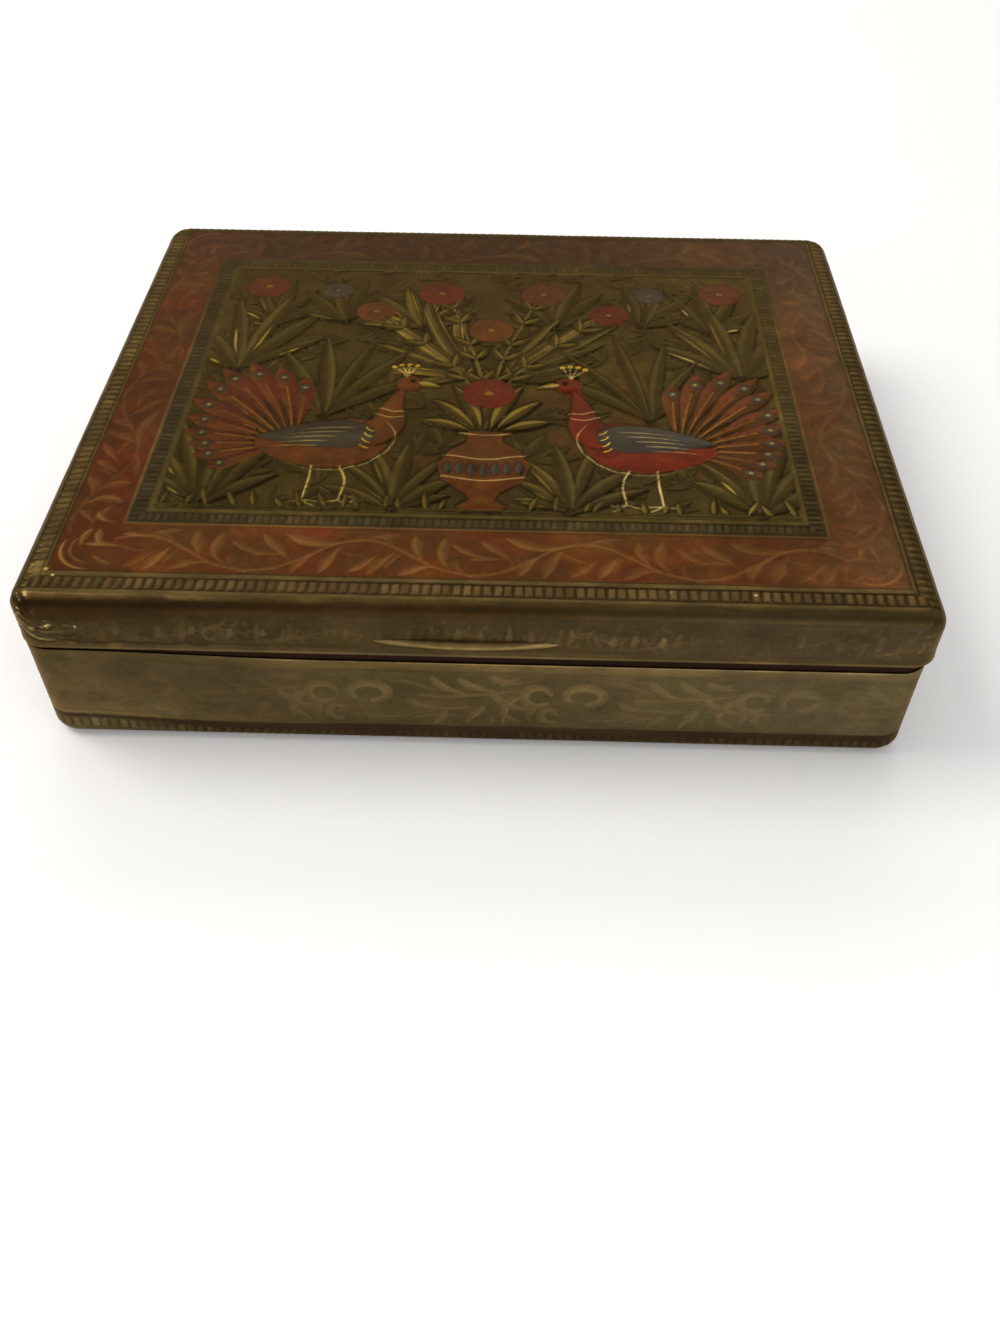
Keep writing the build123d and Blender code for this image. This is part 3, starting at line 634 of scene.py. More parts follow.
    fan(S, 3, 2, (74, 60, 45, 30, 14, -4), (27, 31, 30, 25, 20, 15), 3.6, -20, LEAF_HI, OLIVE_DK, 58, gold_glint=0.75, shine=0.5)
    fan(S, -31, -12, (48, 62, 78, 94, 110, 126), (24, 29, 31, 29, 24, 18), 3.2, 18, LEAF_HI * 0.85, OLIVE_DK, 67, gold_glint=0.35, shine=0.3)
    fan(S, 31, -12, (54, 70, 86, 102, 118, 132), (18, 24, 29, 31, 29, 24), 3.2, 18, LEAF_HI * 0.8, OLIVE_DK, 68, gold_glint=0.15, shine=0.2)
    # stems with small leaves
    for sx in (-1, 1):
        for a, b, c, n in (((0, -8), (-7, 6), (-23, 26), 6), ((0, -4), (-4, 14), (-10, 34), 6)):
            pts = through([(sx * a[0], a[1]), (sx * b[0], b[1]), (sx * c[0], c[1])], 7)
            line(S, pts, 0.9, 0.5, -0.14, LEAF_HI, 0.0, 0.4, 0.0)
            for j in range(1, n):
                k = int(len(pts) * j / n)
                x, y = pts[k]
                hd = np.degrees(np.arctan2(pts[k][1] - pts[k - 1][1], pts[k][0] - pts[k - 1][0]))
                for e_ in (-1, 1):
                    leaf(S, bend(x, y, hd + e_ * 52, 5.0, -e_ * 30), 1.9, 0.17, mix(LEAF_HI, GOLD, 0.2), OLIVE_DK, 0.0, 0.45, 0.7, 0.9, 0.4, -e_)
    # vase
    vase = [(-3.4, -39), (3.4, -39), (4.4, -37.4), (2.2, -35.6), (3.0, -33.8), (7.4, -30.0), (8.4, -25.6), (6.4, -21.4), (3.4, -18.8), (3.2, -17.2), (5.2, -15.4), (-5.2, -15.4), (-3.2, -17.2), (-3.4, -18.8), (-6.4, -21.4), (-8.4, -25.6), (-7.4, -30.0), (-3.0, -33.8), (-2.2, -35.6), (-4.4, -37.4)]
    blob(S, vase, 0.30, ORANGE * 0.92, 0.75, 0.9, 3.2, mottle=0.2, seed=60)
    line(S, through([(-7.6, -29.0), (0, -30.6), (7.6, -29.0)], 6), 0.4, 0.36, 0.05, SILVER, 0.0, 0.6, 0.0, cover=0.85)
    line(S, through([(-7.4, -22.8), (0, -24.4), (7.4, -22.8)], 6), 0.4, 0.36, 0.05, SILVER, 0.0, 0.6, 0.0, cover=0.85)
    line(S, through([(-4.8, -16.0), (0, -16.9), (4.8, -16.0)], 6), 0.4, 0.36, 0.05, SILVER, 0.0, 0.6, 0.0, cover=0.85)
    for j in range(-3, 4):
        leaf(S, bend(j * 2.15, -28.8 - 0.25 * (3 - abs(j)), 90, 4.0, 0), 1.6, 0.32, SLATE * 1.2, SLATE * 0.8, 0.75, 0.5, 0.4, 0.6)
    # flowers over the vase
    for sx in (-1, 1):
        for x, y, ln, hd in ((2, -15, 13, 60), (1, -15, 16, 80), (3, -15.4, 10, 30)):
            leaf(S, bend(sx * x, y, 90 - sx * (90 - hd), ln, -sx * 24), 3.0, 0.2, mix(LEAF_HI, GOLD, 0.35), OLIVE_DK, 0.0, 0.5, 1.0, 1.0, 0.5, sx)
    blossom(S, 0.2, -3.0, 5.2, 8, BLOOD, 61)
    # birds
    spread = [(86, 19, 10), (200, 14, 14), (97, 23, 12), (188, 15.5, 10), (108, 25.5, 12), (177, 16.5, 8), (119, 26, 12), (166, 18, 8), (130, 24.5, 8), (154, 19.5, 8), (142, 22, 8)]
    bird(S, lambda q: [(-28.5 + x * 1.16, -21.4 + y * 1.16) for x, y in q], ORANGE, SLATE, (ORANGE * 0.98, BLOOD * 0.95, spread), 71)
    bird(S, lambda q: [(28.8 - x * 1.16, -21.2 + y * 1.16) for x, y in q], BLOOD * 1.06, SLATE * 1.05, (tone(0.45, 0.20, 0.09), ORANGE * 0.62, spread), 72)
    # blossoms
    for x, y, r, n_, c, s in (
        (-11.0, 34.6, 4.9, 8, BLOOD, 81), (10.8, 34.8, 4.7, 8, tone(0.40, 0.15, 0.09), 82), (-24.5, 26.6, 4.1, 7, ORANGE * 0.95, 83), (24.5, 26.8, 4.1, 7, BLOOD * 0.92, 84),
        (-48.6, 36.2, 4.6, 7, BLOOD, 85), (48.6, 36.4, 4.6, 7, tone(0.39, 0.14, 0.085), 86), (-33.5, 35.0, 3.2, 6, SLATE * 1.1, 87), (33.5, 35.2, 3.2, 6, SLATE, 88),
        (0.0, 20.0, 4.6, 8, ORANGE, 89),
    ):
        blossom(S, x, y, r, n_, c, s, GOLD if s % 2 else SILVER)
    # ground line with grass
    line(S, [(-55, -38.7), (55, -38.7)], 0.5, 0.5, -0.08, LEAF_HI * 0.75, 0.0, 0.2, 0.0)
    rng = np.random.RandomState(9)
    for j in range(30):
        x = -54 + 108 * (j + rng.uniform(-0.4, 0.4)) / 29
        if abs(x) < 6:
            continue
        leaf(S, bend(x, -38.6, 90 + rng.uniform(-34, 34), rng.uniform(2.6, 5.2), rng.uniform(-20, 20)), 1.2, 0.14, mix(LEAF_HI, GOLD, rng.rand() * 0.4), OLIVE_DK, 0.0, 0.4, 0.3, 0.7, 0.3)
    # more of the painted reflection's haze towards the back
    painted_haze = 0.30 * smooth(16, 44, Y) * p
    S.rgb = mix(S.rgb, tone(0.28, 0.215, 0.13), painted_haze[..., None])
    for a, b in zip((S.h, S.rgb, S.paint, S.shine, S.dirt), keep):
        q = p if a.ndim == 2 else p[..., None]
        a[:] = mix(b, a, q)
    # old lacquer evens the panel's tones and browns the whole top
    veil = 0.20 * p * (1 - 0.7 * np.clip(S.shine, 0, 1))
    S.rgb = mix(S.rgb, tone(0.30, 0.225, 0.10), veil[..., None])
    # darker at the panel's front left; paler and bluer towards the right, a painted reflection of a hazy light
    deep, pale = smooth(14, -26, X) * smooth(10, -20, Y), smooth(12, 44, X)
    S.rgb *= mix(tone(1, 1, 1), tone(0.90, 0.89, 0.78), (p * deep)[..., None]) * mix(tone(1, 1, 1), tone(1.13, 1.15, 1.24), (p * pale)[..., None])
    S.rgb *= TOP_TONE
    return S




# ------------------------------------------------------------------ the sides
def sprig(S, x, y, heading, long, turn, leaves, size, light, cover, rng, depth=0.05):
    """A cut stem with pairs of slanted leaves."""
    pts = bend(x, y, heading, long, turn, 14)
    line(S, pts, 0.42, 0.26, depth, light, None, 0.35 * cover, 0.0, cover=0.9 * cover)
    for i in range(leaves):
        t = (i + 0.7) / (leaves + 0.2)
        k = int(t * 14)
        a = heading + turn * t
        px, py = pts[k]
        for e in (-1, 1):
            sz = size * rng.uniform(0.75, 1.1) * (1.05 - 0.35 * t)
            leaf(S, bend(px, py, a + e * rng.uniform(34, 52), sz, e * rng.uniform(8, 26)), size * 0.26, -depth, light, light * 0.82, None, 0.42, 0.0, 0.22, 0.45 * cover, cover=cover * rng.uniform(0.6, 1.0))
    leaf(S, bend(pts[-1][0], pts[-1][1], heading + turn, size * 0.8, 6), size * 0.25, -depth, light, light * 0.85, None, 0.42, 0.0, 0.22, 0.45 * cover, cover=cover)


def petal_ring(S, x, y, r, thick, start, sweep, light, cover, depth=0.05, wide=1.0, tall=1.0):
    """One C-shaped petal, a broad shallow cut that is fuller in its middle."""
    n = 26
    pts = [(x + wide * r * cos(radians(start + sweep * k / n)), y + tall * r * sin(radians(start + sweep * k / n))) for k in range(n + 1)]
    band_cut(S, pts, thick, light, cover, depth, 0.62, 0.5)


def band_cut(S, pts, thick, light, cover, depth=0.05, ends=0.3, peak=0.35):
    """A broad cut with soft ends, widest at `peak` of its length. One side is painted lighter, with a painted
    highlight, and the far edge painted darker, as light and shade on a slanted floor.
    """
    w, X, Y = S.window(pts, thick + 0.5)
    if X.size == 0:
        return
    d, t, side = near(X, Y, pts)
    full = np.sin(pi * np.clip(t, 0.0, 1.0) ** (log(0.5) / log(peak)))
    taper = thick / 2 * (ends + (1 - ends) * np.clip(full, 0, 1) ** 0.8)
    m = smooth(-0.16, 0.16, taper - d) * cover
    u = np.clip(d / np.maximum(taper, 0.05), 0, 1) * side
    S.h[w] -= m * depth * (0.7 + 0.3 * (1 - np.abs(u)))
    # painted light and shade: lighter and shinier on one side, its rim darker on the other
    tint = 0.99 + 0.055 * u + 0.05 * layered(X / 1.3, Y / 1.3, 0, 351, 2)
    S.lay(w, m, None, light * tint[..., None], None, 0.22 * cover * np.clip(0.4 + 0.6 * u, 0, 1), 0.0)
    rim = smooth(0.24, 0.04, np.abs(d - taper - 0.10)) * smooth(0.2, -0.6, u) * cover
    S.h[w] -= 0.02 * rim
    S.dirt[w] = np.maximum(S.dirt[w], 0.32 * rim)


def worn(S, seed, left=0.25):
    """How much of the engraving is left, from 0 to 1, along the side."""
    return np.clip(0.72 + 0.55 * layered(S.X / 21, S.Y / 11, 0, seed, 3), 0.12, 1)


def side_ground(S, seed, base=BRASS):
    X, Y = S.X, S.Y
    m = layered(X / 7.5, Y / 4.5, 0, seed, 4)
    fine = layered(X / 0.9, Y / 0.9, 0, seed + 5, 2)
    streak = layered(X / 6.0, Y / 0.7, 0, seed + 8, 3)
    S.rgb[:] = base * (1 + 0.13 * m + 0.04 * fine + 0.05 * streak)[..., None]
    green = smooth(0.0, 0.5, layered(X / 12, Y / 8, 0, seed + 9, 3))
    S.rgb[:] = mix(S.rgb, S.rgb * tone(0.93, 1.0, 0.90), (0.6 * green)[..., None])
    S.dirt[:] = 0.12 + 0.10 * np.clip(m, 0, 1)
    S.h[:] = 0.012 * streak


def draw_base(L):
    S = Sheet(-L / 2, L / 2, 0.0, 22.2)
    X, Y = S.X, S.Y
    side_ground(S, 301)
    light = BRASS_HI * tone(1.14, 1.14, 1.20)
    right = (smooth(-10, 66, X) * smooth(108, 84, X))[..., None]
    S.rgb[:] = S.rgb * tone(1.03, 1.035, 1.08) * (1 + right * tone(0.025, 0.055, 0.16))
    keep_h, keep_rgb, keep_shine, keep_dirt = S.h.copy(), S.rgb.copy(), S.shine.copy(), S.dirt.copy()
    rng = np.random.RandomState(31)
    n = int(round(L / 37.6))
    pitch = L / n
    first = 15.0
    for i in range(n):
        x = first + i * pitch
        x = (x + L / 2) % L - L / 2
        for shift in (0, -L, L):
            if not (-L / 2 - 30 < x + shift < L / 2 + 30):
                continue
            c = x + shift
            cov = 0.95
            r0 = np.random.RandomState(500 + i)
            # the spray to the right of the flower: a thin stem with comma-shaped strokes
            for width, cover, dots in (
                (0.75, 0.8, ((12.3, 13.4), (16.8, 13.3), (21.0, 13.9), (25.5, 14.4), (30.4, 15.2))),
                (1.25, 1.0, ((14.9, 18.4), (16.3, 16.2), (18.6, 14.6), (20.6, 14.0))),
                (1.25, 1.0, ((19.6, 18.3), (21.4, 16.5), (23.6, 15.4), (25.6, 14.9))),
                (1.15, 0.9, ((24.6, 18.3), (26.4, 17.6), (29.4, 16.9))),
                (0.9, 0.5, ((9.4, 17.6), (12.0, 16.4), (15.6, 15.2))),
                (1.15, 0.9, ((10.2, 12.4), (12.0, 11.2), (14.4, 10.8))),
                (0.6, 0.7, ((13.6, 10.9), (16.8, 10.3), (20.0, 10.4), (22.6, 10.8))),
                (1.25, 0.9, ((23.4, 11.0), (22.2, 9.4), (21.0, 7.2), (20.6, 6.2))),
                (1.05, 0.8, ((17.4, 9.4), (16.0, 7.8), (15.0, 6.1))),
                (1.45, 1.0, ((29.4, 13.9), (28.0, 12.0), (27.3, 9.6), (27.2, 6.8))),
                (1.2, 0.7, ((32.3, 11.6), (31.5, 9.4), (31.4, 6.9))),
                (0.8, 0.6, ((24.4, 8.6), (24.8, 7.2), (24.6, 5.9))),
                (0.55, 0.6, ((11.2, 7.5), (15.8, 8.4), (20.2, 7.8))),
                # strokes that lead into the next flower from the left
                (1.25, 1.0, ((24.8, 14.4), (26.2, 12.5), (28.6, 11.0), (31.4, 10.3))),
                (0.95, 0.8, ((26.8, 9.1), (28.4, 7.7), (30.6, 6.5))),
                (0.85, 0.7, ((26.6, 16.4), (28.0, 17.6), (29.8, 18.4))),
            ):
                jit = [(c + q + r0.uniform(-0.35, 0.35), 0.955 * z + r0.uniform(-0.25, 0.25)) for q, z in dots]
                band_cut(S, through(jit, 5), width * r0.uniform(1.1, 1.4), light, cov * cover * r0.uniform(0.8, 1), 0.05, 0.2, 0.3)
            # the flower: two upper petals and a smaller one below
            petal_ring(S, c - 4.0, 13.1, 2.5, 1.75, 20, 292, light, cov, wide=1.0, tall=0.96)
            petal_ring(S, c + 4.0, 13.5, 2.7, 1.85, -78, 290, light, cov, wide=1.22, tall=0.84)
            petal_ring(S, c - 1.6, 8.3, 1.75, 1.4, 66, 220, light, 0.85 * cov, wide=1.05)
            band_cut(S, through([(c - 0.4, 8.5), (c - 0.9, 9.1), (c - 1.7, 8.8)], 5), 0.6, light, 0.7 * cov)
            band_cut(S, through([(c + 3.7, 7.5), (c + 6.6, 7.2), (c + 10.0, 7.6), (c + 12.6, 8.6)], 5), 0.6, light, 0.45 * cov)
    # wear: the cuts are rubbed away in places, most at the front's left and right ends
    k = worn(S, 311)
    k = k * (1 - 0.75 * smooth(-8, -44, X) * smooth(-108, -84, X)) * (1 - 0.62 * smooth(33, 52, X) * smooth(108, 84, X))
    S.h[:] = mix(keep_h, S.h, k)
    S.rgb[:] = mix(keep_rgb, S.rgb, k[..., None])
    S.shine[:] = mix(keep_shine, S.shine, k)
    S.dirt[:] = mix(keep_dirt, S.dirt, k)
    S.rgb[:] *= (1 + 0.07 * smooth(16, 40, X) * smooth(108, 84, X) + 0.12 * smooth(-30, -50, X) * smooth(-108, -84, X) * smooth(9.5, 6.0, Y) + 0.07 * smooth(-46, -60, X) * smooth(-108, -84, X) * smooth(10.5, 8.0, Y) - 0.08 * smooth(-33, -46, X) * smooth(-108, -84, X) * smooth(12.0, 16.0, Y) - 0.035 * smooth(-5, -30, X) * smooth(-108, -84, X) * smooth(7.5, 11.0, Y))[..., None]
    # plain strip under the rim
    top = smooth(18.75, 19.15, Y + 0.25 * layered(X / 7, 0 * X, 0, 326, 2))
    S.h[:] = mix(S.h, 0.05 - 0.05 * smooth(20.2, 20.9, Y), top)
    S.rgb[:] = mix(S.rgb, BRASS * 1.12 * (1 + 0.14 * layered(X / 9, Y / 2, 0, 321, 3) + 0.07 * smooth(19.0, 20.6, Y))[..., None] * (1 + right * tone(0.02, 0.04, 0.12)) * (1 - 0.29 * smooth(-33, -46, X) * smooth(-108, -84, X))[..., None], (0.75 * top)[..., None])
    S.shine[:] = mix(S.shine, 0.12 * smooth(-0.1, 0.5, layered(X / 14, Y / 2, 0, 323, 2)), top)
    S.dirt[:] = mix(S.dirt, 0.05, top)
    wob = 0.10 * layered(X / 5, 0 * X, 0, 325, 2)
    cut = smooth(0.26, 0.05, np.abs(Y - 18.85 - wob)) * (0.25 + 0.75 * smooth(0.1, 0.5, layered(X / 10, 0 * X, 0, 328, 2)))
    S.h[:] -= 0.04 * cut
    S.dirt[:] = np.maximum(S.dirt, 0.4 * cut)
    # edge of the rim catches the light in places
    edge = smooth(20.45, 20.85, Y)
    S.shine[:] = np.maximum(S.shine, 0.5 * edge * smooth(0.05, 0.5, layered(X / 8, 0 * X, 0, 327, 3)) * (1 - 0.7 * smooth(-32, -50, X) * smooth(-108, -84, X)))
    # foot: a line, a plain strip, the beads, and the roll under
    fade = smooth(-108, -84, X)
    lift = (1.25 * smooth(-44, -72, X) - 0.35 * smooth(-15, -32, X)) * fade
    Z = Y - lift
    ZB = Z - 0.6 * smooth(-40, -64, X) * fade
    foot = smooth(5.15, 4.95, Z)
    brown = tone(0.265, 0.208, 0.142)
    S.rgb[:] = mix(S.rgb, brown * (1 + 0.16 * layered(X / 7, Y / 2, 0, 331, 3))[..., None], foot[..., None])
    S.h[:] = mix(S.h, 0.0, foot)
    S.shine[:] *= 1 - foot
    S.dirt[:] = mix(S.dirt, 0.25, foot)
    pale = smooth(-38, -60, X) * fade * smooth(3.1, 2.7, Y)
    S.rgb[:] = mix(S.rgb, tone(0.43, 0.375, 0.26), (0.8 * pale)[..., None])
    cut = smooth(0.28, 0.06, np.abs(Z - 5.05 - 0.08 * layered(X / 6, 0 * X, 0, 333, 2)))
    S.h[:] -= 0.05 * cut
    S.dirt[:] = np.maximum(S.dirt, 0.6 * cut)
    row = smooth(3.75, 3.55, ZB) * smooth(1.15, 1.35, ZB) * (0.35 + 0.65 * smooth(-0.4, 0.3, layered(X / 16, 0 * X, 0, 335, 2)))
    n = round(L / 1.68)
    bead_row(S, X + L / 2, ZB - 1.25, L, 2.4, L / n, row, 341, 0.035, mix(tone(0.31, 0.245, 0.165), tone(0.47, 0.41, 0.265), (0.9 * smooth(-42, -58, X) * smooth(-108, -84, X))[..., None]), tone(0.21, 0.16, 0.10), 0.0, 0.7)
    line = smooth(0.24, 0.05, np.abs(Z - 6.35)) * smooth(-46, -64, X) * fade
    S.h[:] -= 0.03 * line
    S.dirt[:] = np.maximum(S.dirt, 0.4 * line)
    trace = smooth(0.30, 0.06, np.abs(Z - 5.65)) * smooth(-40, -62, X) * fade
    S.rgb[:] = mix(S.rgb, BRASS_HI, (0.55 * trace)[..., None])
    S.shine[:] = np.maximum(S.shine, 0.25 * trace)
    under = smooth(1.0, 0.7, Y)
    S.rgb[:] = mix(S.rgb, brown * (0.95 + 0.25 * smooth(-38, -60, X) * fade)[..., None], under[..., None])
    S.dirt[:] = mix(S.dirt, 0.45, under)
    return S


def draw_lid_side(L):
    S = Sheet(-L / 2, L / 2, 0.0, 11.4)
    X, Y = S.X, S.Y
    side_ground(S, 401, tone(0.292, 0.235, 0.142))
    right = (smooth(-10, 66, X) * smooth(108, 84, X))[..., None]
    S.rgb[:] = S.rgb * (1 + right * tone(0.06, 0.09, 0.24)) * (1 - 0.11 * smooth(-22, -48, X) * smooth(-108, -84, X) - 0.05 * smooth(4.6, 6.0, Y) + 0.05 * smooth(3.6, 1.6, Y))[..., None]
    keep = [a.copy() for a in (S.h, S.rgb, S.shine, S.dirt)]
    light = tone(0.375, 0.315, 0.20)
    rng = np.random.RandomState(43)
    n = int(round(L / 19.5))
    pitch = L / n
    for i in range(n):
        x = -L / 2 + (i + 0.35) * pitch
        r0 = np.random.RandomState(700 + i)
        for shift in (0, -L, L):
            c = x + shift
            if not (-L / 2 - 20 < c < L / 2 + 20):
                continue
            sprig(S, c, 2.6, 8, 9.5, 12, 4, 3.0, light, 0.8, r0, 0.045)
            sprig(S, c + 9.5, 5.2, -10, 8.5, -14, 4, 3.0, light, 0.75, r0, 0.045)
            petal_ring(S, c + 9.3, 3.7, 1.25, 0.8, 40, 260, light, 0.8, 0.045)
            for q in range(5):
                leaf(S, bend(c + 1.5 + q * 3.6 + r0.uniform(-1, 1), 2.0 + r0.uniform(0, 0.8), 90 + r0.uniform(-35, 35), r0.uniform(2.2, 3.6), r0.uniform(-30, 30)), 1.0, -0.045, light, light * 0.84, None, 0.42, 0.0, 0.2, 0.35, cover=r0.uniform(0.4, 0.9))
    for i in range(int(L / 4.1)):
        x = -L / 2 + (i + rng.rand()) * 4.1
        tall = rng.uniform(1.6, 3.6)
        blob(S, [(x + ux * rng.uniform(0.5, 1.0), rng.uniform(2.4, 3.6) + tall * (0.5 + 0.5 * uy)) for ux, uy in ((-1, -1), (-0.6, 0.2), (-0.2, 1), (0.6, 0.8), (0.9, -0.2), (0.3, -1))], 0.04, light * rng.uniform(0.9, 1.06), None, 0.3, 0.8, 0.1, 0.2, i)
    for i in range(int(L / 3.3)):
        x = -L / 2 + (i + rng.rand()) * 3.3
        y = rng.uniform(4.8, 7.6)
        leaf(S, bend(x, y, rng.choice((90, 60, 120, 20, 160)) + rng.uniform(-20, 20), rng.uniform(1.2, 2.6), rng.uniform(-40, 40)), rng.uniform(0.5, 1.0), -0.03, light * 0.95, light * 0.84, None, 0.4, 0.0, 0.2, 0.25, cover=rng.uniform(0.3, 0.85))
    k = np.clip(0.60 + 0.8 * layered(X / 13, Y / 6, 0, 411, 3), 0.10, 1.0) * smooth(8.3, 7.0, Y) * smooth(1.5, 1.9, Y)
    for a, b in zip((S.h, S.shine, S.dirt), (keep[0], keep[2], keep[3])):
        a[:] = mix(b, a, k)
    S.rgb[:] = mix(keep[1], S.rgb, k[..., None])
    # dark wavy line over the plain hem
    wave = 1.42 + (0.16 + 0.34 * smooth(-20, -60, X) * smooth(-108, -84, X)) * layered(X / 3.2, 0 * X, 0, 421, 3)
    d = np.abs(Y - wave)
    cut = smooth(0.36, 0.06, d) * (0.45 + 0.55 * smooth(-0.4, 0.3, layered(X / 13, 0 * X, 0, 422, 2))) * (1 - 0.62 * smooth(-46, -30, X) * smooth(96, 84, X))
    S.h[:] -= 0.045 * cut
    S.rgb[:] = mix(S.rgb, BRASS_DK, (0.6 * cut)[..., None])
    S.dirt[:] = np.maximum(S.dirt, 0.5 * cut)
    hem = smooth(0.12, -0.12, Y - wave + 0.25)
    S.rgb[:] = mix(S.rgb, mix(BRASS * 0.84, tone(0.30, 0.23, 0.14), 0.3) * (1 + 0.12 * layered(X / 11, Y, 0, 423, 3))[..., None], hem[..., None])
    S.h[:] = mix(S.h, 0.05 + 0.085 * smooth(0.50, 0.02, Y), hem)
    pale = smooth(0.52, 0.22, Y) * (0.72 + 0.28 * layered(X / 8, 0 * X, 0, 427, 2))
    S.rgb[:] = mix(S.rgb, tone(0.46, 0.385, 0.265) * (1 - 0.16 * smooth(-34, -52, X) * smooth(-108, -84, X))[..., None], (0.85 * pale)[..., None])
    S.shine[:] = mix(S.shine, 0.12 * smooth(0.0, 0.5, layered(X / 10, 0 * X, 0, 425, 3)) + 0.22 * pale, hem)
    S.dirt[:] = mix(S.dirt, 0.02, hem)
    # glints by the front left corner
    fl = smooth(26, 6, np.abs(X + 72)) * smooth(-0.05, 0.5, layered(X / 1.3, Y / 1.1, 0, 429, 2)) * smooth(4.6, 2.6, Y)
    S.shine[:] = np.maximum(S.shine, 0.45 * fl)
    glint = SILVER * 1.05
    for dots, wd, sh_, cov in (
        (((-76.4, 5.1), (-75.0, 5.2), (-73.6, 4.8), (-72.6, 4.2)), 0.34, 0.75, 0.85),
        (((-76.2, 4.2), (-75.0, 4.1), (-73.9, 3.6)), 0.55, 1.0, 1.0),
        (((-73.9, 3.6), (-72.8, 2.7), (-71.4, 1.9), (-69.6, 1.65), (-67.4, 1.7)), 0.32, 0.6, 0.8),
        (((-69.7, 4.7), (-69.0, 4.55)), 0.5, 1.0, 1.0),
        (((-64.8, 4.75), (-64.6, 4.3)), 0.42, 1.0, 0.95),
        (((-77.6, 4.6), (-76.6, 4.75)), 0.4, 0.8, 0.9),
        (((-77.9, 2.7), (-76.4, 2.3), (-74.8, 2.5)), 0.25, 0.4, 0.6),
        (((-71.2, 3.7), (-69.9, 3.2), (-68.6, 3.6)), 0.22, 0.2, 0.4),
    ):
        line(S, through(list(dots), 5), wd, wd * 0.5, -0.10, glint, None, sh_, 0.0, peak=0.4, cover=cov)
    for dots in (((-75.8, 3.5), (-74.4, 3.0), (-73.2, 2.1), (-72.2, 1.5)), ((-72.0, 4.4), (-70.6, 3.9), (-69.2, 3.9), (-67.8, 4.6)), ((-68.6, 2.9), (-66.4, 2.6), (-64.6, 3.4)), ((-76.6, 5.7), (-74.4, 5.8), (-72.4, 5.2))):
        line(S, through(list(dots), 5), 0.4, 0.25, 0.09, BRASS_DK * 0.95, None, 0.0, 0.45, peak=0.5, cover=0.75)
    # smooth band over the shoulder, painted dark brown as a reflection, with painted shade on its crest
    lead = smooth(-38, -66, X) * smooth(-108, -84, X)
    edge_ = 7.7 - 1.6 * lead + 0.7 * (smooth(0, 60, X) * smooth(108, 84, X))
    sh = smooth(-0.6, 0.6, Y - edge_ + 0.35 * layered(X / 4, 0 * X, 0, 431, 2)) * (1 - 0.45 * smooth(10, 62, X) * smooth(108, 84, X))
    brown = shoulder_reflection_tone(X)
    S.rgb[:] = mix(S.rgb, brown * (1 + 0.14 * layered(X / 10, Y / 2, 0, 433, 3))[..., None], (0.9 * sh)[..., None])
    S.rgb[:] *= painted_shoulder_shade(X, Y - 5.85)
    S.dirt[:] = mix(S.dirt, 0.10, sh)
    S.h[:] = mix(S.h, 0.01 * layered(X / 5, Y / 1.5, 0, 435, 2), sh)
    return S


# ------------------------------------------------------------------ the brass as a dense mesh
A0, B0 = 76.0, 64.5
NX, NY = 690, 586


def perimeter():
    """Nodes round the lid's rectangle from its front left corner: side and place along it."""
    qx = np.linspace(-A0, A0, NX + 1)[:-1]
    qy = np.linspace(-B0, B0, NY + 1)[:-1]
    side = np.concatenate([np.full(NX, 0), np.full(NY, 1), np.full(NX, 2), np.full(NY, 3)])
    q = np.concatenate([qx, qy, qx, qy])
    return side, q


SIDE, Q = perimeter()
NP_ = len(Q)
SIDE_HALF = np.where(SIDE % 2 == 0, A0, B0)
NEAR = SIDE_HALF - np.abs(Q)
DIR = np.stack([np.cos(np.pi / 2 * SIDE), np.sin(np.pi / 2 * SIDE)], 1)  # along each side, anticlockwise
OUTW = np.stack([DIR[:, 1], -DIR[:, 0]], 1)


def contour(a, b, r):
    """The rounded rectangle of half sizes a, b and corner radius r, at the perimeter's nodes, with outward normals."""
    half = np.where(SIDE % 2 == 0, a, b)
    deep = np.where(SIDE % 2 == 0, b, a)
    s = np.sign(Q)
    straight = NEAR >= 5.0
    u = np.where(straight, s * (half - r) * np.abs(Q) / (SIDE_HALF - 5.0), 0.0)
    ang = (1 - np.clip(NEAR, 0, 5) / 5.0) * (np.pi / 4)
    u = np.where(straight, u, s * ((half - r) + r * np.sin(ang)))
    d = np.where(straight, deep, deep - r + r * np.cos(ang))
    p = DIR * u[:, None] + OUTW * d[:, None]
    nu = np.where(straight, 0.0, s * np.sin(ang))
    nd = np.where(straight, 1.0, np.cos(ang))
    n = DIR * nu[:, None] + OUTW * nd[:, None]
    return p, n


def wrap_s():
    """Arc length round the radius-5 contour, starting mid-back, running left, front, right."""
    p, _ = contour(A0, B0, 5.0)
    step = np.hypot(*(np.roll(p, -1, 0) - p).T)
    s = np.concatenate([[0], np.cumsum(step)])
    total = s[-1]
    start = s[NX + NY + NX // 2]
    return np.mod(s[:-1] - start, total), total


WS, WRAP = wrap_s()


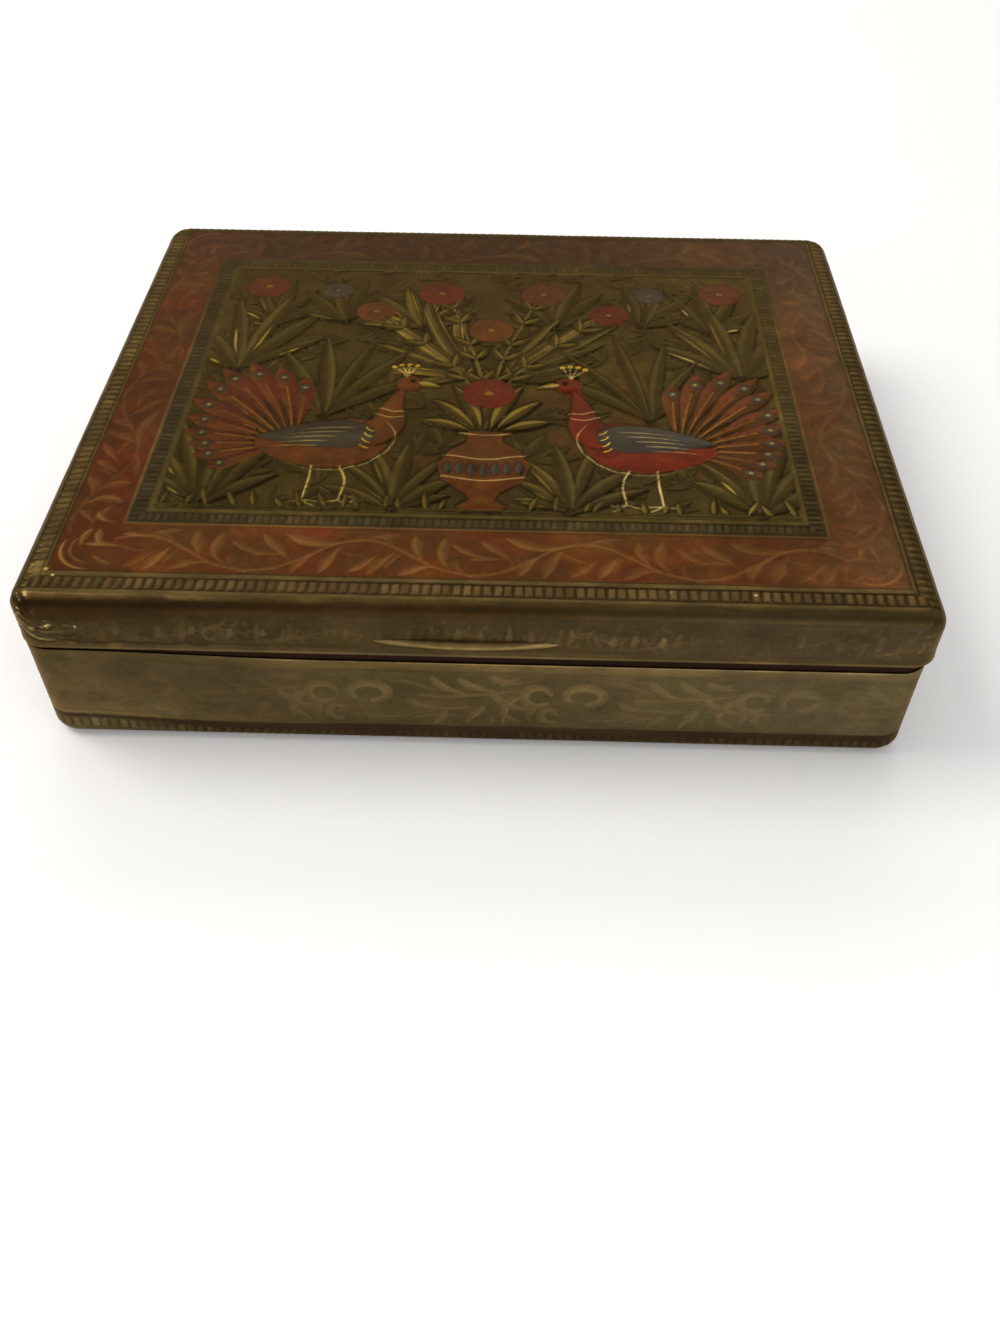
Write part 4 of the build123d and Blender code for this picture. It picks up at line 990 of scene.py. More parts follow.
class Skin:
    """Collects rings of vertices and joins them into one closed mesh."""

    def __init__(self):
        self.co, self.uv, self.faces, self.own = [], [], [], []
        self.n = 0

    def add(self, co, uv):
        first = self.n
        self.co.append(np.asarray(co, np.float64))
        self.uv.append(np.asarray(uv, np.float64))
        self.n += len(co)
        return first

    def fill(self, faces, own=None):
        """Faces, with their own flat places where they don't share their vertices'."""
        self.faces.append(faces)
        self.own.append(own)

    def band(self, a, b, flat_a=None, flat_b=None):
        """Quads between two rings whose first vertices are a (outer or lower) and b."""
        i = np.arange(NP_)
        j = (i + 1) % NP_
        own = None if flat_a is None else np.stack([flat_a[i], flat_a[j], flat_b[j], flat_b[i]], 1)
        self.fill(np.stack([a + i, a + j, b + j, b + i], 1), own)

    def mesh(self, name, paint, work, scale=0.001):
        co = np.concatenate(self.co) * scale
        uv = np.concatenate(self.uv)
        me = bpy.data.meshes.new(name)
        me.vertices.add(len(co))
        me.vertices.foreach_set("co", co.astype(np.float32).ravel())
        loops = np.concatenate([f.ravel() for f in self.faces]).astype(np.int32)
        sizes = np.concatenate([np.full(len(f), f.shape[1]) for f in self.faces])
        flat = np.concatenate([uv[f.ravel()] if o is None else o.reshape(-1, 2) for f, o in zip(self.faces, self.own)])
        me.loops.add(len(loops))
        me.loops.foreach_set("vertex_index", loops)
        starts = np.concatenate([[0], np.cumsum(sizes)[:-1]]).astype(np.int32)
        me.polygons.add(len(starts))
        me.polygons.foreach_set("loop_start", starts)
        me.update(calc_edges=True)
        me.polygons.foreach_set("use_smooth", np.ones(len(starts), bool))
        layer = me.uv_layers.new(name="OFBake")
        layer.uv.foreach_set("vector", flat.astype(np.float32).ravel())
        for key, val in (("paint", paint), ("work", work)):
            at = me.attributes.new(key, "FLOAT_COLOR", "POINT")
            at.data.foreach_set("color", val.astype(np.float32).ravel())
        me.update()
        me.validate()
        ob = bpy.data.objects.new(name, me)
        bpy.context.collection.objects.link(ob)
        return ob


def to_linear(c):
    c = np.clip(c, 0, 1)
    return np.where(c <= 0.04045, c / 12.92, ((c + 0.055) / 1.055) ** 2.4)


def unroll_uv(p, half, low, gain=1.0, cx=0.0, cy=0.0):
    """Flat place of an unrolled point in the bake layer: the square spans +-half in x, and y starts at low."""
    return np.stack([0.5 + (p[:, 0] * gain + cx) / (2 * half) * 0.996, low + (p[:, 1] * gain + cy) / (2 * half) * 0.996], 1)


AXIS_Y, AXIS_Z, GROOVE = 63.35, 22.4, 1.7
BASE_RIM, LID_RIM = 20.9, 22.95


def rim_cut(y):
    """Half height of the hinge groove where the contour crosses it."""
    return np.sqrt(np.clip(GROOVE**2 - (y - AXIS_Y) ** 2, 0, None))


def rim_rise(p):
    """The base's rim stands higher towards the front left corner, where the seam narrows."""
    return 1.05 * smooth(-26, -68, p[:, 0]) * smooth(-20, -55, p[:, 1])


def dents(p3):
    """Slow unevenness of hand-worked sheet, in mm."""
    x, y, z = p3.T
    return 0.055 * layered(x / 17, y / 17, z / 17, 201, 2) + 0.022 * layered(x / 4.2, y / 4.2, z / 4.2, 202, 3)


def lid_mesh(top, strip):
    """The lid's brass: side, rolled shoulder and top as one skin, with its inner face."""
    sk = Skin()
    data, flat_half, low = [], 84.2, 0.568
    ra = 3.4 * np.pi / 2
    # ---- profile of rings: distance t inward from the rim along the surface
    side_t = np.linspace(0, 1, 27)
    arc_t = np.linspace(0, 1, 25)[1:]
    firsts = []
    p, n = contour(A0, B0, 5.0)
    z0 = np.maximum(LID_RIM, AXIS_Z + rim_cut(p[:, 1]))
    outs = []
    crinkle_at = [(-A0, -B0, 1.0), (A0, -B0, 0.14), (-A0, B0, 0.2), (A0, B0, 0.2)]

    def crinkled(co, v, k):
        """Small folds where the sheet was drawn round the corners, with painted glints on their crests."""
        x, y, z = co.T
        h = np.zeros(len(co))
        for cx, cy, s in crinkle_at:
            away = np.hypot(x - cx, y - cy)
            near_c = np.maximum(smooth(12, 4, away) * smooth(29.6, 28.2, z), smooth(5.6, 3.4, away)) * k * s
            fold = layered(x / 1.7, y / 1.7, z / 1.0, 205, 3)
            h += near_c * 0.24 * (np.abs(fold) - 0.22)
            # painted glints: silvery, shiny spots on the folds
            glint_spot = smooth(0.26, 0.42, layered(x / 1.5, y / 1.5, z / 0.42, 206, 2))
            v[:, 5] = np.maximum(v[:, 5], near_c * glint_spot)
            v[:, 1:4] = mix(v[:, 1:4], SILVER * 1.1, (0.7 * np.clip(near_c * glint_spot, 0, 1))[:, None])
            v[:, 6] = np.maximum(v[:, 6], near_c * 0.6 * smooth(0.10, 0.0, np.abs(fold)))
        return h

    for t in side_t:
        z = z0 + (29.2 - z0) * t
        sv = strip.sample(WS - WRAP / 2, (z - LID_RIM) * 5.85 / (29.2 - LID_RIM), True)
        tp, _ = contour(72.6 + ra + 5.85 * (1 - t), 61.1 + ra + 5.85 * (1 - t), 1.6 + ra + 5.85 * (1 - t))
        co = np.column_stack([p, z])
        nn = np.column_stack([n, 0 * z])
        calm = 1 - smooth(61.0, 63.5, p[:, 1]) * (1 - 0.5 * t)
        h = sv[:, 0] * np.where(p[:, 1] > 62, np.minimum(sv[:, 0], 0) / np.where(np.abs(sv[:, 0]) < 1e-6, 1, sv[:, 0]), 1)
        h = h + crinkled(co, sv, smooth(0.35, 0.95, t)) * np.where(p[:, 1] > 60, 0, 1)
        co = co + nn * (h + dents(co) * calm * smooth(0, 0.15, t))[:, None]
        outs.append((co, sv, unroll_uv(tp, flat_half, low)))
    for t in arc_t:
        th = t * np.pi / 2
        off = 3.4 * (1 - np.cos(th))
        p1, n1 = contour(A0 - off, B0 - off, 5.0 - off)
        z = 29.2 + 3.4 * np.sin(th)
        left = ra * (1 - t)
        tp, _ = contour(72.6 + left, 61.1 + left, 1.6 + left)
        sv = strip.sample(WS - WRAP / 2, np.full(NP_, 5.85 + ra * t), True)
        tv = top.sample(tp[:, 0], tp[:, 1])
        k = smooth(3.2, 2.7, left)
        v = mix(sv, tv, k)
        co = np.column_stack([p1, np.full(NP_, z)])
        nn = np.column_stack([n1 * np.cos(th), np.full(NP_, np.sin(th))])
        h = v[:, 0].copy()
        h = h + crinkled(co, v, smooth(1.02, 0.75, t)) * np.where(p[:, 1] > 60, smooth(0.2, 0.5, t), 1)
        co = co + nn * (h + dents(co))[:, None]
        outs.append((co, v, unroll_uv(tp, flat_half, low)))
    # ---- flat ring from the rounded contour to the sharp rectangle of the inner grid
    ai, bi = 70.6, 59.1
    pr, _ = contour(72.6, 61.1, 1.6)
    sq = DIR * (Q * np.where(SIDE % 2 == 0, ai / A0, bi / B0))[:, None] + OUTW * np.where(SIDE % 2 == 0, bi, ai)[:, None]
    for t in np.linspace(0, 1, 10)[1:]:
        pp = mix(pr, sq, t)
        v = top.sample(pp[:, 0], pp[:, 1])
        co = np.column_stack([pp, np.full(NP_, 32.6)])
        co[:, 2] += v[:, 0] + dents(co)
        outs.append((co, v, unroll_uv(pp, flat_half, low)))
    for co, v, uv in outs:
        firsts.append(sk.add(co, uv))
        data.append(v)
    for a, b in zip(firsts, firsts[1:]):
        sk.band(a, b)
    # ---- inner grid, sharing the last ring
    last = firsts[-1]
    gx = np.linspace(-A0, A0, NX + 1)[1:-1] * ai / A0
    gy = np.linspace(-B0, B0, NY + 1)[1:-1] * bi / B0
    GX, GY = np.meshgrid(gx, gy)
    flat = np.column_stack([GX.ravel(), GY.ravel()])
    v = top.sample(flat[:, 0], flat[:, 1])
    co = np.column_stack([flat, np.full(len(flat), 32.6)])
    co[:, 2] += v[:, 0] + dents(co)
    g0 = sk.add(co, unroll_uv(flat, flat_half, low))
    data.append(v)
    ids = np.empty((NY + 1, NX + 1), np.int64)
    ids[1:-1, 1:-1] = g0 + np.arange(len(flat)).reshape(NY - 1, NX - 1)
    # the front runs left to right, the right side front to back, the back right to left, and the left side back to front
    ids[0, :] = last + np.arange(NX + 1)
    ids[:, NX] = last + NX + np.arange(NY + 1)
    ids[NY, :] = np.concatenate([[last + 2 * NX + NY], last + NX + NY + np.arange(NX)[::-1]])
    ids[:, 0] = np.concatenate([[last], last + 2 * NX + NY + np.arange(NY)[::-1]])
    sk.fill(np.stack([ids[:-1, :-1].ravel(), ids[:-1, 1:].ravel(), ids[1:, 1:].ravel(), ids[1:, :-1].ravel()], 1))
    # ---- inner face: rim, up the inside, and across under the top
    hid = np.zeros((NP_, 7), np.float32)
    hid[:, 1:4] = BRASS_DK
    hid[:, 6] = 0.3
    lip_p, _ = contour(A0 - 0.37, B0 - 0.37, 4.63)
    zi = np.maximum(LID_RIM, AXIS_Z + rim_cut(lip_p[:, 1]))
    dims = 0.13 / 0.86
    ring_list = [(lip_p, zi, 10.0)]
    for off, z, t in ((0.37, 29.0, 4.0), (1.5, 31.3, 2.0), (3.8, 32.22, 0.0), (20.0, 32.22, -16.0), (50.0, 32.22, -46.0)):
        pp, _ = contour(A0 - off, B0 - off, max(4.63 - off * 0.8, 0.8))
        ring_list.append((pp, np.full(NP_, z), t))
    prev = firsts[0]
    small = lambda t: unroll_uv(contour(72.6 + t, 61.1 + t, max(1.6 + t, 1.0))[0], flat_half, 0.066, dims)  # noqa: E731
    for k, (pp, z, t) in enumerate(ring_list):
        f = sk.add(np.column_stack([pp, z]), small(t))
        data.append(hid)
        sk.band(f, prev, *((small(t), small(11.5)) if k == 0 else ()))
        prev = f
    c = sk.add(np.array([[0, 0, 32.22]]), np.array([[0.5, 0.066]]))
    data.append(hid[:1])
    i = np.arange(NP_)
    sk.fill(np.stack([prev + (i + 1) % NP_, prev + i, np.full(NP_, c)], 1))
    d = np.concatenate(data)
    paint = np.column_stack([to_linear(d[:, 1:4]), np.clip(d[:, 4], 0, 1)])
    work = np.column_stack([np.clip(d[:, 5], 0, 1), np.clip(d[:, 6], 0, 1), np.clip(0.5 + d[:, 0], 0, 1), np.ones(len(d))])
    return sk.mesh("lid_brass", paint, work)


def base_mesh(strip):
    """The base's brass: rim, side, foot and the flange turned under, as one closed skin."""
    sk = Skin()
    data = []
    a, b, cx = 75.6, 64.2, -0.4
    ra = 2.4 * np.pi / 2
    half, low = 96.6, 0.5
    full = 5.6 + ra + 19.25
    z_low, z_foot = 0.3, 2.7
    outs = []
    p, n = contour(a, b, 5.0)
    z1 = np.minimum(BASE_RIM, AXIS_Z - rim_cut(p[:, 1])) + rim_rise(p)
    for t in np.linspace(0, 1, 76):
        z = z1 + (z_foot - z1) * t
        v = strip.sample(WS - WRAP / 2, z - rim_rise(p) * (1 - t) ** 2, True)
        co = np.column_stack([p, z])
        nn = np.column_stack([n, 0 * z])
        h = v[:, 0] * np.where((p[:, 1] > 62) & (v[:, 0] > 0), 1 - smooth(8, 16, z), 1)
        calm = 1 - smooth(61.0, 63.5, p[:, 1]) * smooth(8, 16, z)
        co = co + nn * (h + dents(co) * calm * smooth(0, 0.05, t))[:, None]
        tp, _ = contour(67.6 + 5.6 + ra + 19.25 * (1 - t), 56.2 + 5.6 + ra + 19.25 * (1 - t), 5.0 + 12 * (1 - t))
        outs.append((co, v, unroll_uv(tp, half, low)))
    for t in np.linspace(0, 1, 15)[1:]:
        th = t * np.pi / 2
        off = 2.4 * (1 - np.cos(th))
        pp, n1 = contour(a - off, b - off, 5.0 - off)
        z = z_foot - 2.4 * np.sin(th)
        v = strip.sample(WS - WRAP / 2, np.full(NP_, z), True)
        co = np.column_stack([pp, np.full(NP_, z)])
        nn = np.column_stack([n1 * np.cos(th), np.full(NP_, -np.sin(th))])
        co = co + nn * (v[:, 0] * np.cos(th) + 0.5 * dents(co) * (1 - t))[:, None]
        tp, _ = contour(67.6 + 5.6 + ra * (1 - t), 56.2 + 5.6 + ra * (1 - t), 5.0)
        outs.append((co, v, unroll_uv(tp, half, low)))
    under = strip.sample(WS - WRAP / 2, np.full(NP_, 0.2), True)
    under[:, 0] = 0
    for k, off in enumerate(np.linspace(2.4, 8.0, 19)[1:]):
        pp, _ = contour(a - off, b - off, max(2.6 - (off - 2.4) * 0.3, 1.0))
        co = np.column_stack([pp, np.full(NP_, z_low)])
        co[:, 2] += 0.03 * layered(pp[:, 0] / 3.0, pp[:, 1] / 3.0, 0, 221, 3) * smooth(2.4, 3.4, off)
        tp, _ = contour(67.6 + 8.0 - off, 56.2 + 8.0 - off, 5.0 - 4.0 * (off - 2.4) / 5.6)
        v = under.copy()
        m = layered(pp[:, 0] / 3.0, pp[:, 1] / 3.0, 0, 222, 3)
        v[:, 1:4] = mix(under[:, 1:4], BRASS_DK * 1.2, 0.6) * (1 + 0.15 * m)[:, None]
        v[:, 6] = 0.35 + 0.2 * m
        outs.append((co, v, unroll_uv(tp, half, low)))
    firsts = []
    for co, v, uv in outs:
        co = co.copy()
        co[:, 0] += cx
        firsts.append(sk.add(co, uv))
        data.append(v)
    for x, y in zip(firsts, firsts[1:]):
        sk.band(y, x)
    hid = np.zeros((NP_, 7), np.float32)
    hid[:, 1:4] = BRASS_DK
    hid[:, 6] = 0.3
    prev = firsts[-1]
    ip, _ = contour(a - 0.37, b - 0.37, 4.63)
    zt = np.minimum(BASE_RIM, AXIS_Z - rim_cut(ip[:, 1])) + rim_rise(ip)
    inner = [(8.0, 0.67, 1.0, 0.0), (5.0, 0.67, 1.9, 0.10), (2.4, 0.67, 2.6, 0.18), (1.0, 1.4, 4.0, 0.26), (0.37, 3.0, 4.63, 0.34), (0.37, 12.0, 4.63, 0.62)]
    ring_uv = lambda k: unroll_uv(contour(60.0 - 40 * k, 49.0 - 30 * k, 3.0)[0], half, low)  # noqa: E731
    for off, z, r, k in inner:
        pp, _ = contour(a - off, b - off, r)
        co = np.column_stack([pp, np.full(NP_, z)])
        co[:, 0] += cx
        f = sk.add(co, ring_uv(k))
        data.append(hid)
        sk.band(f, prev)
        prev = f
    co = np.column_stack([ip, zt])
    co[:, 0] += cx
    f = sk.add(co, ring_uv(0.9))
    data.append(hid)
    sk.band(f, prev)
    sk.band(firsts[0], f, ring_uv(1.0), ring_uv(0.9))
    d = np.concatenate(data)
    paint = np.column_stack([to_linear(d[:, 1:4]), np.clip(d[:, 4], 0, 1)])
    work = np.column_stack([np.clip(d[:, 5], 0, 1), np.clip(d[:, 6], 0, 1), np.clip(0.5 + d[:, 0], 0, 1), np.ones(len(d))])
    return sk.mesh("base_brass", paint, work)


def lip_mesh(x0=-1.5, width=30.0, out=1.3, z0=25.3, z1=26.6):
    """The crescent soldered to the front: a half-round section that tapers to both tips, its upper face painted lighter
    and its upper edge given a painted highlight, its underside painted darker as shade.
    """
    n = 181
    u = np.linspace(-1, 1, n)
    r = ((width / 2) ** 2 + out**2) / (2 * out)
    deep = np.maximum(np.sqrt(r * r - (u * width / 2) ** 2) - (r - out), 0.0) + 0.02
    #       out, height, shine (painted highlight on the upper edge), dirt (painted shade underneath), tone (painted
    #       light: lighter above, darker below)
    section = ((-0.25, 1.00, 0.0, 0.2, 1.0), (0.00, 1.00, 0.0, 0.2, 1.0), (0.12, 0.975, 0.0, 0.1, 1.05), (0.28, 0.935, 0.05, 0.0, 1.1), (0.44, 0.88, 0.1, 0.0, 1.15), (0.60, 0.81, 0.18, 0.0, 1.2),
               (0.74, 0.73, 0.26, 0.0, 1.2), (0.86, 0.63, 0.32, 0.0, 1.2), (0.95, 0.52, 0.28, 0.0, 1.15), (0.99, 0.42, 0.12, 0.1, 1.0), (1.00, 0.33, 0.0, 0.2, 0.9),
               (0.97, 0.24, 0.0, 0.3, 0.75), (0.90, 0.16, 0.0, 0.4, 0.64), (0.78, 0.09, 0.0, 0.5, 0.6), (0.60, 0.03, 0.0, 0.6, 0.55), (0.40, 0.005, 0.0, 0.6, 0.5), (0.2, 0.0, 0.0, 0.6, 0.5), (0.0, 0.0, 0.0, 0.6, 0.5), (-0.25, 0.0, 0.0, 0.6, 0.5))
    m = len(section)
    co, d = [], []
    for o, hz, shine, dirt, tn in section:
        y = np.where(o < 0, 64.5 + o, 64.5 + o * deep)
        tall = z1 - z0
        tip = smooth(0.0, 0.16, 1 - np.abs(u))
        z = z0 + tall * (0.5 + (hz - 0.5) * (0.45 + 0.55 * tip)) + 0.10 * (1 - tip)
        x = x0 + u * width / 2
        k = 0.03 * layered(x / 2.2, z / 1.2, o, 241, 3) * (1 if 0 < o else 0)
        co.append(np.column_stack([x, -(y + k), z + 0.7 * k]))
        v = np.zeros((n, 7))
        patch = layered(x / 3.0, z, 0, 243, 3)
        v[:, 1:4] = BRASS_HI * 0.86 * tn * (1 + 0.12 * patch)[:, None]
        v[:, 5] = shine * (0.55 + 0.45 * smooth(-0.3, 0.4, layered(x / 5.0, 0 * x, 0, 244, 3)))
        v[:, 6] = dirt
        d.append(v)
    uv = []
    for k in range(m):
        uv.append(np.column_stack([0.02 + 0.96 * (u * 0.5 + 0.5), np.full(n, 0.30 + 0.02 * k)]))
    sk = Skin()
    first = [sk.add(c, w) for c, w in zip(co, uv)]
    i = np.arange(n - 1)
    last_uv = np.column_stack([uv[0][:, 0], np.full(n, 0.30 + 0.02 * m)])
    for k in range(m):
        a, b = first[k], first[(k + 1) % m]
        if k < m - 1:
            sk.fill(np.stack([a + i, a + i + 1, b + i + 1, b + i], 1)[:, ::-1])
        else:
            own = np.stack([uv[k][i], uv[k][i + 1], last_uv[i + 1], last_uv[i]], 1)
            sk.fill(np.stack([a + i, a + i + 1, b + i + 1, b + i], 1)[:, ::-1], own[:, ::-1])
    for end, flip in ((0, 1), (n - 1, -1)):
        ids = np.array([[first[k] + end for k in range(m)]])[:, ::flip]
        ang = np.linspace(0, 2 * np.pi, m, endpoint=False)[::flip]
        own = np.stack([0.1 + 0.03 * np.cos(ang) + (0.2 if end else 0), 0.15 + 0.03 * np.sin(ang)], 1)[None]
        sk.fill(ids, own)
    d = np.concatenate(d)
    paint = np.column_stack([to_linear(d[:, 1:4]), np.clip(d[:, 4], 0, 1)])
    work = np.column_stack([np.clip(d[:, 5], 0, 1), np.clip(d[:, 6], 0, 1), np.clip(0.5 + d[:, 0], 0, 1), np.ones(len(d))])
    return sk.mesh("lip_brass", paint, work)


# ------------------------------------------------------------------ materials
class Mat:
    """A small helper to write node materials in a few lines."""

    def __init__(self, name):
        self.m = bpy.data.materials.new(name)
        self.m.use_nodes = True
        self.t = self.m.node_tree
        self.t.nodes.clear()
        self.out = self.n("ShaderNodeOutputMaterial")
        self.bsdf = self.n("ShaderNodeBsdfPrincipled")
        self.link(self.bsdf.outputs[0], self.out.inputs["Surface"])
        self.coord = self.n("ShaderNodeTexCoord").outputs["Object"]

    def n(self, kind, **props):
        node = self.t.nodes.new(kind)
        for k, v in props.items():
            setattr(node, k, v)
        return node

    def link(self, a, b):
        self.t.links.new(a, b)

    def put(self, value, socket):
        if isinstance(value, bpy.types.NodeSocket):
            self.link(value, socket)
        else:
            socket.default_value = value

    def set(self, **kw):
        for k, v in kw.items():
            self.put(v, self.bsdf.inputs[k.replace("_", " ")])
        return self

    def mapped(self, scale=(1, 1, 1), turn=(0, 0, 0), vector=None):
        mp = self.n("ShaderNodeMapping")
        self.link(vector or self.coord, mp.inputs["Vector"])
        mp.inputs["Scale"].default_value = scale
        mp.inputs["Rotation"].default_value = turn
        return mp.outputs[0]

    def noise(self, scale, detail=3.0, rough=0.5, distort=0.0, vector=None, colour=False):
        t = self.n("ShaderNodeTexNoise")
        t.inputs["Scale"].default_value = scale
        t.inputs["Detail"].default_value = detail
        t.inputs["Roughness"].default_value = rough
        t.inputs["Distortion"].default_value = distort
        self.link(vector or self.coord, t.inputs["Vector"])
        return t.outputs["Color" if colour else "Fac"]

    def math(self, op, a, b=0.0, c=0.0, clamp=False):
        t = self.n("ShaderNodeMath", operation=op, use_clamp=clamp)
        for v, s in zip((a, b, c), t.inputs):
            self.put(v, s)
        return t.outputs[0]

    def range(self, value, a, b, c=0.0, d=1.0):
        t = self.n("ShaderNodeMapRange", clamp=True)
        for v, s in zip((value, a, b, c, d), t.inputs):
            self.put(v, s)
        return t.outputs[0]

    def mix(self, fac, a, b, blend="MIX"):
        t = self.n("ShaderNodeMix", data_type="RGBA", blend_type=blend)
        self.put(fac, t.inputs[0])
        self.put(a, t.inputs[6])
        self.put(b, t.inputs[7])
        return t.outputs[2]

    def bump(self, height, strength=0.2, distance=0.0002, normal=None):
        t = self.n("ShaderNodeBump")
        t.inputs["Strength"].default_value = strength
        t.inputs["Distance"].default_value = distance
        self.link(height, t.inputs["Height"])
        if normal is not None:
            self.link(normal, t.inputs["Normal"])
        return t.outputs[0]


def lin(r, g, b, a=1.0):
    return tuple(float(v) for v in to_linear(np.array([r, g, b]))) + (a,)


def skin_material(name):
    """Brass whose colour (with its painted light, shade, reflections and glints), paint, bright cuts with painted
    glints, and dirt are carried by the mesh.
    """
    m = Mat(name)
    # the paint colour carries the painted light, shade, reflections and glints; work carries shine (bright cuts and
    # painted glints), dirt and height
    paint = m.n("ShaderNodeAttribute", attribute_name="paint")
    work = m.n("ShaderNodeAttribute", attribute_name="work")
    sep = m.n("ShaderNodeSeparateColor")
    m.link(work.outputs["Color"], sep.inputs[0])
    shine, dirt, high = sep.outputs[0], sep.outputs[1], sep.outputs[2]
    cover = paint.outputs["Alpha"]
    cloud = m.noise(150, 4, 0.6)
    grit = m.noise(1400, 3, 0.6)
    fleck = m.noise(520, 4, 0.7)
    tone_ = m.range(cloud, 0.3, 0.7, 0.84, 1.14)
    tone2 = m.range(grit, 0.25, 0.75, 0.88, 1.10)
    base = m.mix(1.0, paint.outputs["Color"], m.mix(1.0, tone_, tone2, "MULTIPLY"), "MULTIPLY")
    # tarnish gathers in patches and in whatever lies low
    low = m.range(high, 0.5, 0.36, 0.0, 0.55)
    soil = m.math("MULTIPLY", m.math("MAXIMUM", dirt, low), m.range(fleck, 0.3, 0.6, 0.75, 1.0), clamp=True)
    base = m.mix(soil, base, lin(0.12, 0.085, 0.045))
    patch = m.math("MULTIPLY", m.range(m.noise(62, 3, 0.55), 0.55, 0.72), 0.32)
    base = m.mix(patch, base, m.mix(0.5, base, lin(0.19, 0.13, 0.07)))
    # fresh cuts and rubbed edges show bright metal, and painted glints and highlights brighten the colour the same way
    rub_and_glint = m.math("MULTIPLY", shine, m.range(fleck, 0.35, 0.62, 0.55, 1.0), clamp=True)
    glow = m.mix(1.0, base, (2.5, 2.35, 1.9, 1), "MULTIPLY")
    base = m.mix(rub_and_glint, base, glow)
    metal = m.math("SUBTRACT", 1.0, m.math("MULTIPLY", cover, 0.28))
    metal = m.math("MULTIPLY", metal, m.math("SUBTRACT", 1.0, m.math("MULTIPLY", soil, 0.25)), clamp=True)
    rough = m.range(m.noise(240, 4, 0.65), 0.3, 0.7, 0.30, 0.44)
    rough = m.math("ADD", rough, m.math("MULTIPLY", soil, 0.22))
    rough = m.math("ADD", rough, m.math("MULTIPLY", cover, 0.05))
    rough = m.math("SUBTRACT", rough, m.math("MULTIPLY", rub_and_glint, 0.10), clamp=True)
    hair = m.noise(900, 2, 0.6, vector=m.mapped((1, 6, 6), (0.2, 0.3, 0.5)))
    height = m.math("ADD", m.math("MULTIPLY", grit, 0.6), m.math("MULTIPLY", hair, 0.4))
    normal = m.bump(height, 0.22, 0.00006, m.bump(m.noise(330, 3, 0.5), 0.25, 0.00012))
    m.set(Base_Color=base, Metallic=metal, Roughness=rough, Normal=normal)
    m.bsdf.inputs["Specular IOR Level"].default_value = 0.12
    m.bsdf.inputs["Specular Tint"].default_value = lin(0.93, 0.86, 0.77)
    return m.m


def brass_material(name, light, dark, rough0=0.28, streak=(1, 1, 1)):
    m = Mat(name)
    cloud = m.noise(190, 4, 0.6)
    fine = m.noise(1500, 3, 0.6, vector=m.mapped(streak))
    c = m.mix(m.range(cloud, 0.32, 0.68), lin(*dark), lin(*light))
    c = m.mix(m.range(fine, 0.4, 0.75, 0.0, 0.35), c, lin(*[v * 1.25 for v in light]))
    c = m.mix(m.range(m.noise(75, 3, 0.6), 0.56, 0.7, 0.0, 0.6), c, lin(0.16, 0.11, 0.06))
    r = m.range(m.noise(420, 4, 0.6), 0.3, 0.7, rough0, rough0 + 0.18)
    m.set(Base_Color=c, Metallic=0.96, Roughness=r, Normal=m.bump(fine, 0.18, 0.00005))
    return m.m


def steel_material(name):
    m = Mat(name)
    f = m.noise(900, 3, 0.6, vector=m.mapped((1, 8, 8)))
    c = m.mix(m.range(f, 0.3, 0.7), lin(0.27, 0.255, 0.24), lin(0.40, 0.385, 0.365))
    c = m.mix(m.range(m.noise(260, 3, 0.6), 0.5, 0.68, 0, 0.8), c, lin(0.20, 0.125, 0.075))
    m.set(Base_Color=c, Metallic=1.0, Roughness=m.range(f, 0.2, 0.8, 0.40, 0.56), Normal=m.bump(f, 0.15, 0.00003))
    return m.m


def wood_material(name, along):
    """Straight, dark grain along one axis, with pores."""
    m = Mat(name)
    squeeze = [1.0, 1.0, 1.0]
    squeeze["XYZ".index(along)] = 0.07
    v = m.mapped(tuple(squeeze))
    ring_ = m.n("ShaderNodeTexWave", wave_type="BANDS", bands_direction="Z" if along != "Z" else "X", wave_profile="SAW")
    ring_.inputs["Scale"].default_value = 150
    ring_.inputs["Distortion"].default_value = 7.0
    ring_.inputs["Detail"].default_value = 3.0
    ring_.inputs["Detail Scale"].default_value = 1.3
    m.link(v, ring_.inputs["Vector"])
    band = ring_.outputs["Fac"]
    fibre = m.noise(1500, 3, 0.65, vector=v)
    pore = m.range(m.noise(2600, 2, 0.5, vector=v), 0.62, 0.72)
    c = m.mix(band, lin(0.15, 0.078, 0.036), lin(0.085, 0.044, 0.022))
    c = m.mix(m.range(fibre, 0.35, 0.7, 0, 0.5), c, lin(0.185, 0.10, 0.05))
    c = m.mix(m.math("MULTIPLY", pore, 0.7), c, lin(0.045, 0.026, 0.015))
    c = m.mix(m.range(m.noise(40, 2, 0.5), 0.4, 0.7, 0, 0.35), c, lin(0.07, 0.038, 0.02))
    h = m.math("SUBTRACT", fibre, m.math("MULTIPLY", pore, 0.8))
    m.set(Base_Color=c, Roughness=m.range(fibre, 0.2, 0.8, 0.58, 0.74), Normal=m.bump(h, 0.3, 0.00012))
    m.bsdf.inputs["Specular IOR Level"].default_value = 0.06
    return m.m


